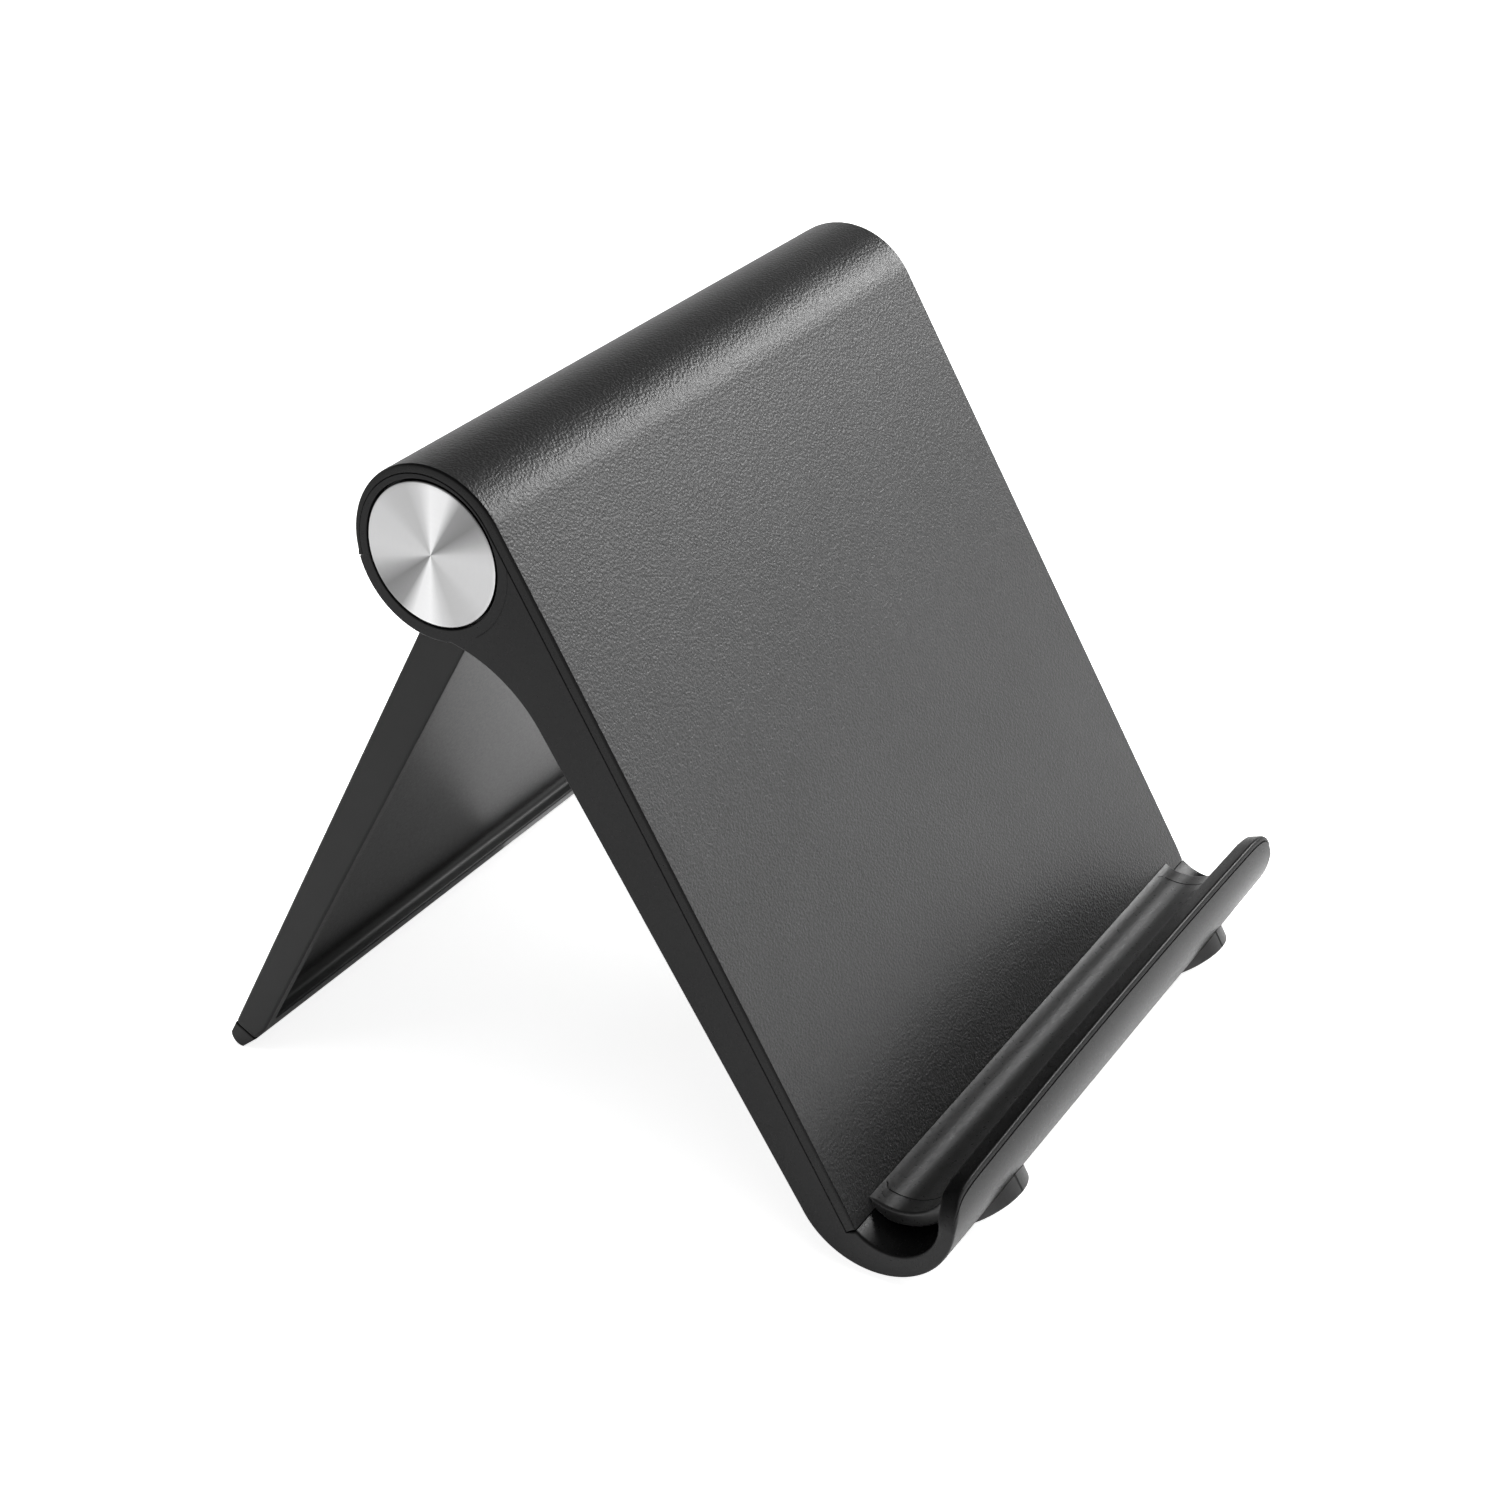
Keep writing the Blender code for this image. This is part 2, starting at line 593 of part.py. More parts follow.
def main():
    clear_scene()
    lean = standing_lean()
    hinge_height = -turned(heel_point(), -lean)[1]
    foot_front = (HOOK_CENTRE[0] - FOOT_RADIUS, FOOT_SOLE + FOOT_CHAMFER)
    front = min(turned(HOOK_CENTRE, -lean)[0] - HOOK_RADIUS, turned(foot_front, -lean)[0])
    back = max(turned(point, OPEN_ANGLE - lean)[0] for point in leg_nose())
    hinge = (0.0, -(front + back) / 2, hinge_height)
    panel = pose_empty("panel_on_hinge_axis", hinge, -lean)
    leg = pose_empty("leg_on_hinge_axis", hinge, OPEN_ANGLE - lean)

    black = make_material("black_abs", (0.022, 0.022, 0.023), 0.42)
    textured = make_material("textured_black_abs", (0.045, 0.045, 0.046), 0.55)
    silicone = make_material("black_silicone", (0.03, 0.03, 0.031), 0.6)
    rubber = make_material("black_rubber", (0.018, 0.018, 0.018), 0.75)
    aluminium = make_material("spun_aluminium", (0.82, 0.83, 0.84), 0.28, 1.0)
    steel = make_material("zinc_steel", (0.6, 0.6, 0.6), 0.35, 1.0)
    spring = make_material("spring_steel", (0.3, 0.3, 0.32), 0.4, 1.0)
    acetal = make_material("white_acetal", (0.8, 0.8, 0.76), 0.4)
    fibre = make_material("friction_fibre", (0.25, 0.12, 0.06), 0.8)
    nylon = make_material("blue_nylon", (0.05, 0.12, 0.4), 0.5)
    adhesive = make_material("white_adhesive", (0.75, 0.75, 0.72), 0.7)

    make_front_frame(black, panel)
    make_front_cover(textured, panel)
    make_hook_pad(silicone, panel)
    make_rear_leg(black, leg)
    make_leg_grip(rubber, leg)
    make_shaft(steel, leg)
    for label, side in SIDES:
        make_foot(label, side, lean, rubber, panel)
        make_end_disc(label, side, aluminium, panel)
        make_washer(f"disc_tape_{label}", TAPE_FACES, *TAPE_RADII, side, adhesive, panel)
        make_bush(label, side, acetal, panel)
        clear = SHAFT_RADIUS + RUNNING_GAP
        friction = (FRICTION_WASHER_FACES, clear, FRICTION_WASHER_RADIUS)
        make_washer(f"friction_washer_{label}", *friction, side, fibre, leg)
        make_washer(f"flat_washer_{label}", FLAT_WASHER_FACES, clear, FLAT_WASHER_RADIUS, side, steel, leg)
    make_spring_washer("spring_washer_inner", INNER_SPRING_X, True, spring, leg)
    make_spring_washer("spring_washer_outer", OUTER_SPRING_X, False, spring, leg)
    make_lock_nut(steel, leg)
    make_washer("nut_insert", INSERT_FACES, SHAFT_RADIUS + INSERT_GAP, INSERT_RADIUS, 1, nylon, leg)


main()
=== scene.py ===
"""Looks for the foldable phone stand: fine shells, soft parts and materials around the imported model.

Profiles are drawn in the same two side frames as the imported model. In the panel frame +Z runs up the front
panel and -Y points out of its face. In the leg frame the leg hangs along -Z and its outer face looks along
+Y. Both have their origin in the hinge's centre, and PANEL and LEG turn them into the standing pose.
"""

import json
import math

import bmesh
import bpy
from mathutils import Matrix, Vector


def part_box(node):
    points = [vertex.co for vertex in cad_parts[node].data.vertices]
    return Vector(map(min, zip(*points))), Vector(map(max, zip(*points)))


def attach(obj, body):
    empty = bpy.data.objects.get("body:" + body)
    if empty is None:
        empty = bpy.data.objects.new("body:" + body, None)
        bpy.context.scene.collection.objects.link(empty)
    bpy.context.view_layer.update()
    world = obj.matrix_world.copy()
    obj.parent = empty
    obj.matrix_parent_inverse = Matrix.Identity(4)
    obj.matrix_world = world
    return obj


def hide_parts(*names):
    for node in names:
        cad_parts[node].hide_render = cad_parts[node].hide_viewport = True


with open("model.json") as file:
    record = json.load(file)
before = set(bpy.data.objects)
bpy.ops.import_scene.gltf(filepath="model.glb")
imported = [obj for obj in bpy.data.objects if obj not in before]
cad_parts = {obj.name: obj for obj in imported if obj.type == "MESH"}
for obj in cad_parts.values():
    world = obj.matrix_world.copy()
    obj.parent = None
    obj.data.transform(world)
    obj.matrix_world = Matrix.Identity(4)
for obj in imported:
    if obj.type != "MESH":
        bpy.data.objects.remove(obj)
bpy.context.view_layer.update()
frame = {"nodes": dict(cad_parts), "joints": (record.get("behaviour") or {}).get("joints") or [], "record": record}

MM = 0.001

# ---- places, from the frame ----

HINGE = Vector(frame["joints"][0]["pos_m"])
FACE_NORMAL = next(m["axis"] for m in frame["record"]["mounts"] if m["name"] == "phone_rest")
LEAN = math.atan2(FACE_NORMAL[2], -FACE_NORMAL[1])
OPEN_ANGLE = math.radians(58.5)
PANEL = Matrix.Translation(HINGE) @ Matrix.Rotation(-LEAN, 4, "X")
LEG = Matrix.Translation(HINGE) @ Matrix.Rotation(OPEN_ANGLE - LEAN, 4, "X")

HALF_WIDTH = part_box("front_frame")[1].x
COVER_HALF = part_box("front_cover")[1].x
LEG_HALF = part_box("rear_leg")[1].x
PAD_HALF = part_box("hook_pad")[1].x
DISC_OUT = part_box("end_disc_right")[1].x
FOOT_X = (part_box("foot_right")[0].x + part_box("foot_right")[1].x) / 2

# ---- side profiles, as (y, z) in the panel frame or the leg frame ----

BARREL_RADIUS = 10.0 * MM
COVER_SEAT = (-82.5 * MM, 0.1 * MM)  # height and depth of the step that hides behind the pad
COVER_LOW_EDGE = -84.2 * MM
COVER_WRAP_END = 17.0  # in degrees round the barrel
COVER_END_GAP = 0.8  # in degrees, from the cover's end to the step up to the barrel's full radius
COVER_FACETS = 108
FRAME_FACE = 8.7 * MM
SEAM_AT_WRAP_END = 9.4 * MM
SEAM_GAP = 0.06 * MM
SEAM_ROUND = 0.07 * MM
SEAM_FACETS = 66
FRAME_WALL = 1.1 * MM
CHEEK_THICKNESS = 1.9 * MM
SHELL_END = 3.5  # in degrees round the barrel, where its shell stops above the pocket
BACK_EDGE_SLOPE = 0.0345
BACK_EDGE_AT_HINGE = -1.405 * MM
WEB_RADIUS = 17.0 * MM
WEB_START = -22.0 * MM
POCKET_FLOOR = -86.5 * MM

TROUGH_CENTRE = Vector((-15.6 * MM, -82.2 * MM))
TROUGH_RADIUS = 6.0 * MM
TROUGH_END = -20.5  # where the trough runs out flush into the cover's face
HOOK_CENTRE = Vector((-14.2 * MM, -80.75 * MM))
HOOK_RADIUS = 9.9 * MM
LIP_CREST = -82.1 * MM
LIP_FOOT_ANGLE = 210.2  # the ray from the trough's centre where the lip's rounded ends start
HOOK_END_ANGLE = 212.7  # the last ray below the lip
HOOK_FACETS = 48
LIP_WALL_FACETS = 8
LIP_TOP = [
    # the lip's top across, as (share of the thickness, depth below the crest, in millimetres); the second
    # point makes the fine line under its outer edge
    (0.0, 1.22), (0.065, 1.12), (0.01, 1.02), (0.03, 0.68), (0.06, 0.5), (0.12, 0.38), (0.2, 0.31),
    (0.5, 0.18), (0.8, 0.06), (0.9, 0.02), (0.96, 0.07), (1.0, 0.25),
]
LIP_CORNER = 2.6 * MM  # width of the oval corners at the lip's ends
LIP_CROWN = 0.6 * MM  # the crest's rise from the frame's ends to its middle
LIP_DROOP_START = 36.8 * MM
LIP_DROOP = 3500.0  # per square metre: the crest falls by this times the cube of the way past the start
LIP_STATIONS = (0, 9, 18, 27, 35, 37, 38, 39, 40, 40.8)  # sections along half the lip, in millimetres
LIP_CORNER_TURNS = range(6, 91, 6)  # sections round a corner, in degrees
LIP_OUTER_ROUND = 1.6 * MM

PAD_CENTRE = Vector((-15.5 * MM, -78.93 * MM))
PAD_TOP_RADIUS = 6.57 * MM
PAD_THICKNESS = 1.73 * MM
PAD_FRONT_EDGE = [
    # the thin edge against the lip, as a point on top and the angle of the seat's point below it
    (-20.93 * MM, -82.62 * MM, 190), (-21.15 * MM, -82.35 * MM, 187), (-21.36 * MM, -82.2 * MM, 183),
]

FOOT_RADIUS = 6.0 * MM
FOOT_SOLE = -90.95 * MM

KNUCKLE_RADIUS = 7.3 * MM
LEG_OUTER_FACE = -1.43 * MM
NOSE_CENTRE = (-2.85 * MM, -84.6 * MM)
NOSE_RADIUS = 1.6 * MM
LEG_BODY_END = -83.2 * MM
LEG_PLATE = 1.7 * MM
LEG_RIM_WIDTH = 1.65 * MM
LEG_RIM_TOP = (-7.0 * MM, -10.0 * MM)
LEG_RIM_LOW = (-5.35 * MM, -80.8 * MM)
LEG_HEEL = (-4.8 * MM, -83.2 * MM)
LEG_PIT_FLOOR = 33.5 * MM
LEG_PIT_RADIUS = 6.3 * MM
LEG_BORE_RADIUS = 2.1 * MM
TRAY_TOP = -11.5 * MM
TRAY_LOW = -79.4 * MM

DISC_RADIUS = 8.17 * MM
RECESS_RADIUS = 8.42 * MM
RECESS_FLOOR = 42.7 * MM
CUP_RADIUS = 6.0 * MM
CUP_BORE = 5.1 * MM
CUP_FLOOR = (34.2 * MM, 35.6 * MM)
BUSH_HOLE = 2.9 * MM

GAP = 0.1 * MM
EDGE_ROUND = 0.3 * MM
FINE_STEP = 2.5  # degrees for each facet of a round stretch


# ---- profile tools ----


def arc(centre, radius, start, end, step=FINE_STEP):
    """Points on a circle from one angle to the other, in degrees, 0 along +Y and 90 along +Z."""
    count = max(2, round(abs(end - start) / step))
    angles = [math.radians(start + (end - start) * i / count) for i in range(count + 1)]
    return [(centre[0] + radius * math.cos(a), centre[1] + radius * math.sin(a)) for a in angles]


def angle_of(point, centre=(0.0, 0.0)):
    return math.degrees(math.atan2(point[1] - centre[1], point[0] - centre[0]))


def circles_meet(first, first_radius, second, second_radius, side):
    """One of the two points shared by two circles; side is +1 or -1."""
    across = Vector(second) - Vector(first)
    distance = across.length
    along = (first_radius**2 - second_radius**2 + distance**2) / (2 * distance)
    height = math.sqrt(first_radius**2 - along**2)
    unit = across / distance
    y = first[0] + unit.x * along - side * unit.y * height
    z = first[1] + unit.y * along + side * unit.x * height
    return Vector((y, z))


def ray_to_circle(origin, angle, centre, radius):
    """Where a ray from inside a circle leaves it."""
    direction = Vector((math.cos(math.radians(angle)), math.sin(math.radians(angle))))
    offset = Vector(origin) - Vector(centre)
    along = direction.dot(offset)
    reach = -along + math.sqrt(along**2 - offset.length_squared + radius**2)
    return tuple(Vector(origin) + direction * reach)


def softened(points, radius, least_turn):
    """A closed outline whose sharp corners are replaced by small curves."""
    result = []
    steps = 5
    most_trim = 0.45  # of a side's length
    for i, point in enumerate(points):
        before = Vector(points[i - 1]) - Vector(point)
        after = Vector(points[(i + 1) % len(points)]) - Vector(point)
        turn = math.pi - before.angle(after)
        if math.degrees(turn) < least_turn:
            result.append(tuple(point))
            continue
        trim = min(radius * math.tan(turn / 2), most_trim * before.length, most_trim * after.length)
        start = Vector(point) + before.normalized() * trim
        end = Vector(point) + after.normalized() * trim
        for k in range(steps + 1):
            t = k / steps
            bend = start * (1 - t) ** 2 + Vector(point) * 2 * t * (1 - t) + end * t**2
            result.append(tuple(bend))
    return result


SHARPEST_CORNER = 0.6  # keeps the inward direction from growing too long at a very sharp corner


def inward_normals(points):
    """The inward direction at each point of a closed outline, longer at corners to keep walls parallel."""
    count = len(points)
    following = points[1:] + points[:1]
    area = sum(a[0] * b[1] - b[0] * a[1] for a, b in zip(points, following))
    sign = 1 if area > 0 else -1
    normals = []
    for i in range(count):
        before = (Vector(points[i]) - Vector(points[i - 1])).normalized()
        after = (Vector(points[(i + 1) % count]) - Vector(points[i])).normalized()
        first = Vector((-before.y, before.x)) * sign
        second = Vector((-after.y, after.x)) * sign
        middle = (first + second).normalized()
        normals.append(middle / max(SHARPEST_CORNER, middle.dot(first)))
    return normals


def back_edge(z):
    """The rear edge of the frame's sides at a height."""
    return BACK_EDGE_AT_HINGE + BACK_EDGE_SLOPE * z


# ---- mesh tools ----


MERGE_DISTANCE = 0.0001 * MM
SHARP_ANGLE = 35  # in degrees, between faces that are shaded apart
FOLDED_ANGLE = 130  # in degrees, from where an edge is too sharp to round


def finish_mesh(name, builder, place):
    """Turns a builder into a smoothly shaded object at its place."""
    bmesh.ops.recalc_face_normals(builder, faces=builder.faces)
    mesh = bpy.data.meshes.new(name)
    builder.to_mesh(mesh)
    builder.free()
    obj = bpy.data.objects.new(name, mesh)
    bpy.context.scene.collection.objects.link(obj)
    obj.matrix_world = place
    mesh.shade_smooth()
    mesh.set_sharp_from_angle(angle=math.radians(SHARP_ANGLE))
    return obj


def bridge(builder, rows):
    """Faces between closed rings of the same number of vertices."""
    count = len(rows[0])
    for low, high in zip(rows, rows[1:]):
        for i in range(count):
            builder.faces.new([low[i], low[(i + 1) % count], high[(i + 1) % count], high[i]])


def ring_points(outline, normals, side, reaches, rounds, turn):
    """One ring of a rounded end: turn is 90 at the flat cap and 0 where the long faces begin."""
    ring = []
    for point, normal, reach, radius in zip(outline, normals, reaches, rounds):
        inset = radius * (1 - math.cos(math.radians(turn)))
        x = reach - radius * (1 - math.sin(math.radians(turn)))
        ring.append(Vector((side * x, point[0] + normal.x * inset, point[1] + normal.y * inset)))
    return ring


def loft(name, outline, reaches, rounds, place, cap=None, end_steps=5):
    """A side profile stretched along X with rounded ends.

    reaches and rounds give each outline point's half length and its end's edge radius, and cap turns an end
    ring into faces.
    """
    builder = bmesh.new()
    normals = inward_normals(outline)
    turns = [90 * (1 - k / end_steps) for k in range(end_steps + 1)]
    rings = [ring_points(outline, normals, -1, reaches, rounds, turn) for turn in turns]
    rings.append([Vector((0, point[0], point[1])) for point in outline])
    rings += [ring_points(outline, normals, 1, reaches, rounds, turn) for turn in reversed(turns)]
    rows = [[builder.verts.new(point) for point in ring] for ring in rings]
    bridge(builder, rows)
    for row in (rows[0], rows[-1]):
        for polygon in cap(row) if cap else [row]:
            builder.faces.new(polygon)
    return finish_mesh(name, builder, place)


def plain_loft(name, outline, half, radius, place):
    """A side profile with the same half length and the same edge radius all round."""
    return loft(name, outline, [half] * len(outline), [radius] * len(outline), place)


def paired_loft(name, pairs, half, rounds, place, end_steps=5):
    """A thin profile given as pairs of facing points, with its own end rounding for each side."""
    first = [pair[0] for pair in pairs]
    second = [pair[1] for pair in reversed(pairs)]
    least = 0.02 * MM
    shares = (0.6, 0.35)  # the most of the profile's thickness that the first and the second side may round
    first_rounds, second_rounds = [], []
    for a, b in pairs:
        gap = (Vector(a) - Vector(b)).length
        first_room = least + 0.5 * (Vector(a) - Vector(pairs[0][0])).length
        second_room = least + 0.5 * (Vector(b) - Vector(pairs[0][1])).length
        first_rounds.append(min(rounds[0], shares[0] * gap, first_room))
        second_rounds.append(min(rounds[1], shares[1] * gap, second_room))
    second_rounds.reverse()
    count = len(pairs)

    def cap(row):
        facing = row[::-1]
        return [[row[k], row[k + 1], facing[k + 1], facing[k]] for k in range(count - 1)]

    reaches = [half] * (2 * count)
    return loft(name, first + second, reaches, first_rounds + second_rounds, place, cap, end_steps)


def groove_cutter(name, path, radius, place):
    """A thin closed tube along a path, for cutting a fine line."""
    builder = bmesh.new()
    rings = []
    sides = 8
    spots = [(math.cos(2 * math.pi * k / sides), math.sin(2 * math.pi * k / sides)) for k in range(sides)]
    off_axis = Vector((1, 0.3, 0.2))
    for index, point in enumerate(path):
        ahead = Vector(path[min(index + 1, len(path) - 1)]) - Vector(path[max(index - 1, 0)])
        across = ahead.cross(off_axis).normalized()
        other = ahead.cross(across).normalized()
        rings.append([builder.verts.new(Vector(point) + (across * c + other * d) * radius) for c, d in spots])
    bridge(builder, rings)
    builder.faces.new(rings[0])
    builder.faces.new(rings[-1])
    return finish_mesh(name, builder, place)


def prism(name, outline, low_x, high_x, place):
    """A side profile stretched straight along X."""
    builder = bmesh.new()
    rows = [[builder.verts.new((x, y, z)) for y, z in outline] for x in (low_x, high_x)]
    bridge(builder, rows)
    for row in rows:
        builder.faces.new(row)
    return finish_mesh(name, builder, place)


def lathe(name, profile, place, axis="X", centre=(0, 0, 0), count=120):
    """A closed (along, radius) profile turned about an axis; a radius of 0 closes on the axis."""
    builder = bmesh.new()
    rings = []
    for along, radius in profile:
        ring = []
        for i in range(count if radius > 0 else 1):
            angle = 2 * math.pi * i / count
            side, up = radius * math.cos(angle), radius * math.sin(angle)
            spot = (along, side, up) if axis == "X" else (side, up, along)
            ring.append(builder.verts.new(Vector(centre) + Vector(spot)))
        rings.append(ring)
    for first, second in zip(rings, rings[1:] + rings[:1]):
        if len(first) == 1 and len(second) == 1:
            continue
        for i in range(count):
            corners = [first[i % len(first)], first[(i + 1) % len(first)]]
            corners += [second[(i + 1) % len(second)], second[i % len(second)]]
            builder.faces.new(list(dict.fromkeys(corners)))
    return finish_mesh(name, builder, place)


def carve(obj, *cutters, operation="DIFFERENCE"):
    """Applies booleans to a piece and removes the cutters."""
    for cutter in cutters:
        modifier = obj.modifiers.new(cutter.name, "BOOLEAN")
        modifier.operation = operation
        modifier.solver = "EXACT"
        modifier.object = cutter
    bake_modifiers(obj)
    for cutter in cutters:
        bpy.data.objects.remove(cutter)


def bake_modifiers(obj):
    """Puts the mesh that the modifiers make in place of the piece's own."""
    bpy.context.view_layer.update()
    evaluated = obj.evaluated_get(bpy.context.evaluated_depsgraph_get())
    baked = bpy.data.meshes.new_from_object(evaluated)
    obj.modifiers.clear()
    old = obj.data
    obj.data = baked
    bpy.data.meshes.remove(old)


def ease_edges(obj, radius, wanted):
    """Rounds the sharp edges whose middle wanted picks."""
    builder = bmesh.new()
    builder.from_mesh(obj.data)
    bmesh.ops.remove_doubles(builder, verts=builder.verts, dist=MERGE_DISTANCE)
    picked = []
    for edge in builder.edges:
        if len(edge.link_faces) == 2 and SHARP_ANGLE < math.degrees(edge.calc_face_angle(0)) < FOLDED_ANGLE:
            if wanted((edge.verts[0].co + edge.verts[1].co) / 2):
                picked.append(edge)
    bmesh.ops.bevel(
        builder, geom=picked, offset=radius, segments=2, profile=0.5, affect="EDGES", clamp_overlap=True
    )
    builder.to_mesh(obj.data)
    builder.free()


def even_shading(obj, sharp_angle=SHARP_ANGLE):
    """Keeps big flat faces flat next to small rounded edges."""
    obj.data.shade_smooth()
    obj.data.set_sharp_from_angle(angle=math.radians(sharp_angle))
    modifier = obj.modifiers.new("even_shading", "WEIGHTED_NORMAL")
    modifier.keep_sharp = True
    modifier.weight = 50
    return obj


def settle(obj, body, slot, *nodes):
    """Puts a finished piece on its body in place of CAD nodes."""
    obj.data.transform(obj.matrix_world)
    obj.matrix_world = Matrix.Identity(4)
    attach(obj, body)
    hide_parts(*nodes)


# ---- the front frame ----


def seam_radius(angle):
    """The seam between cover and frame moves outwards round the barrel, from the face to the wrap's end."""
    share = (180 - angle) / (180 - COVER_WRAP_END)
    return FRAME_FACE + (SEAM_AT_WRAP_END - FRAME_FACE) * share


def seam_point(angle, offset):
    """A point on the seam round the barrel, moved outwards by offset."""
    radius = seam_radius(angle) + offset
    return (radius * math.cos(math.radians(angle)), radius * math.sin(math.radians(angle)))


def hook_outer(height):
    """The hook's outer face on the lip's side, at a height."""
    return HOOK_CENTRE.x - math.sqrt(HOOK_RADIUS**2 - (height - HOOK_CENTRE.y) ** 2)


def hook_inner(height):
    """The trough's wall on the lip's side, upright above the trough's centre."""
    below = min(0.0, height - TROUGH_CENTRE.y)
    return TROUGH_CENTRE.x - math.sqrt(TROUGH_RADIUS**2 - below**2)


def hook_pair(ray):
    """Where a ray from the trough's centre leaves the hook, and where it meets the trough."""
    direction = Vector((math.cos(math.radians(ray)), math.sin(math.radians(ray))))
    outside = ray_to_circle(TROUGH_CENTRE, ray, HOOK_CENTRE, HOOK_RADIUS)
    return outside, tuple(TROUGH_CENTRE + direction * TROUGH_RADIUS)


def end_curve(x, width):
    """1 up to a rounded end's start, then down a quarter oval to 0 at the frame's end."""
    share = (abs(x) - (HALF_WIDTH - width)) / width
    return math.sqrt(1 - min(1.0, max(0.0, share)) ** 2)


def lip_section(x):
    """The lip's points at a place along the frame: up its outer face, over the top and down its inner face.

    The lip grows from its foot, and its corners fall back to the foot's height at the frame's ends.
    """
    foot_out, foot_in = (point[1] for point in hook_pair(LIP_FOOT_ANGLE))
    past = max(0.0, abs(x) - LIP_DROOP_START)
    crest = LIP_CREST + LIP_CROWN * (1 - (x / HALF_WIDTH) ** 2) - LIP_DROOP * past**3
    shape = [(0.0, LIP_TOP[0][1], k / LIP_WALL_FACETS) for k in range(LIP_WALL_FACETS)]
    shape += [(share, depth, 1.0) for share, depth in LIP_TOP]
    shape += [(1.0, LIP_TOP[-1][1], k / LIP_WALL_FACETS) for k in reversed(range(LIP_WALL_FACETS))]
    points = []
    for share, depth, rise in shape:
        foot = foot_out + (foot_in - foot_out) * share
        risen = rise * end_curve(x, LIP_CORNER)
        height = foot + (crest - depth * MM - foot) * risen
        round_out = EDGE_ROUND + (LIP_OUTER_ROUND - EDGE_ROUND) * risen
        outer = hook_outer(height) + round_out * (1 - end_curve(x, round_out))
        inner = hook_inner(height) - EDGE_ROUND * (1 - end_curve(x, EDGE_ROUND))
        points.append((outer + (inner - outer) * share, height))
    return points


def frame_outline():
    """The frame's side profile without its lip, and where the hook starts and the lip goes in the list."""
    web_centre = (back_edge(WEB_START) + WEB_RADIUS, WEB_START)
    web_meets_barrel = circles_meet((0, 0), BARREL_RADIUS, web_centre, WEB_RADIUS, -1)
    step_angle = COVER_WRAP_END - COVER_END_GAP
    first_ray = 360 + TROUGH_END
    rays = [first_ray + (HOOK_END_ANGLE - first_ray) * k / HOOK_FACETS for k in range(HOOK_FACETS + 1)]
    pairs = [hook_pair(ray) for ray in rays]
    seam = [180 + (step_angle - 180) * k / SEAM_FACETS for k in range(SEAM_FACETS + 1)]
    outline = [seam_point(angle, -SEAM_GAP / 2) for angle in seam]
    outline += arc((0, 0), BARREL_RADIUS, step_angle, angle_of(web_meets_barrel))
    outline += arc(web_centre, WEB_RADIUS, angle_of(web_meets_barrel, web_centre) % 360, 180)[1:]
    outline += arc(HOOK_CENTRE, HOOK_RADIUS, 0, angle_of(pairs[0][0], HOOK_CENTRE))[:-1]
    hook_first = len(outline)
    outline += [pair[0] for pair in pairs]
    lip_at = len(outline)
    outline += [pair[1] for pair in reversed(pairs)]
    outline.append((-FRAME_FACE + SEAM_GAP / 2, COVER_LOW_EDGE - GAP))
    return outline, hook_first, lip_at


def frame_cavity():
    """The bore for the knuckle and the pocket that the leg folds into."""
    bore = FRAME_FACE - FRAME_WALL
    corner_radius = 1.0 * MM
    beyond = 16 * MM
    corner = (-bore + corner_radius, POCKET_FLOOR + corner_radius)
    outline = arc((0, 0), bore, SHELL_END, 180)
    outline += arc(corner, corner_radius, 180, 270, 10)
    outline += [(beyond, POCKET_FLOOR), (beyond, beyond * math.tan(math.radians(SHELL_END)))]
    return outline


def frame_shape():
    """The frame's solid skin: one section after another along X, each with its own lip and rounded ends."""
    outline, hook_first, lip_at = frame_outline()
    whole = outline[:lip_at] + lip_section(0.0) + outline[lip_at:]
    normals = inward_normals(whole)
    normals = normals[:lip_at] + normals[len(whole) - (len(outline) - lip_at) :]
    pairs = lip_at - hook_first
    hook_end = lip_at + pairs
    at_seam = [k <= SEAM_FACETS or k >= hook_end for k in range(len(outline))]
    rounds = [SEAM_ROUND if near else EDGE_ROUND for near in at_seam]
    along = [x * MM for x in LIP_STATIONS]
    along += [HALF_WIDTH - LIP_CORNER * (1 - math.sin(math.radians(turn))) for turn in LIP_CORNER_TURNS]
    places = [-x for x in reversed(along)] + along[1:]
    builder = bmesh.new()
    rows = []
    for x in places:
        section = []
        for point, normal, radius in zip(outline, normals, rounds):
            section.append(Vector(point) + normal * radius * (1 - end_curve(x, radius)))
        section[lip_at:lip_at] = [Vector(point) for point in lip_section(x)]
        rows.append([builder.verts.new((x, point.x, point.y)) for point in section])
    bridge(builder, rows)
    shift = len(rows[0]) - len(outline)
    for row in (rows[0], rows[-1]):
        outer = row[hook_first:lip_at]
        inner = row[lip_at + shift :]
        for k in range(pairs - 1):
            builder.faces.new([outer[k], outer[k + 1], inner[pairs - 2 - k], inner[pairs - 1 - k]])
        builder.faces.new(row[lip_at - 1 : lip_at + shift + 1])
        builder.faces.new(inner[pairs - 1 :] + row[: hook_first + 1])
    least = 0.0005 * MM
    bmesh.ops.remove_doubles(builder, verts=builder.verts, dist=least)
    bmesh.ops.dissolve_degenerate(builder, edges=builder.edges, dist=least)
    return finish_mesh("frame_shell", builder, PANEL)


def witness_line(side):
    """A faint line where the ring round the disc meets the web."""
    radius, depth = 9.7 * MM, 0.05 * MM
    start, end, step = 206, 268, 4
    path = [(side * HALF_WIDTH, y, z) for y, z in arc((0, 0), radius, start, end, step)]
    return groove_cutter("witness_line", path, depth, PANEL)


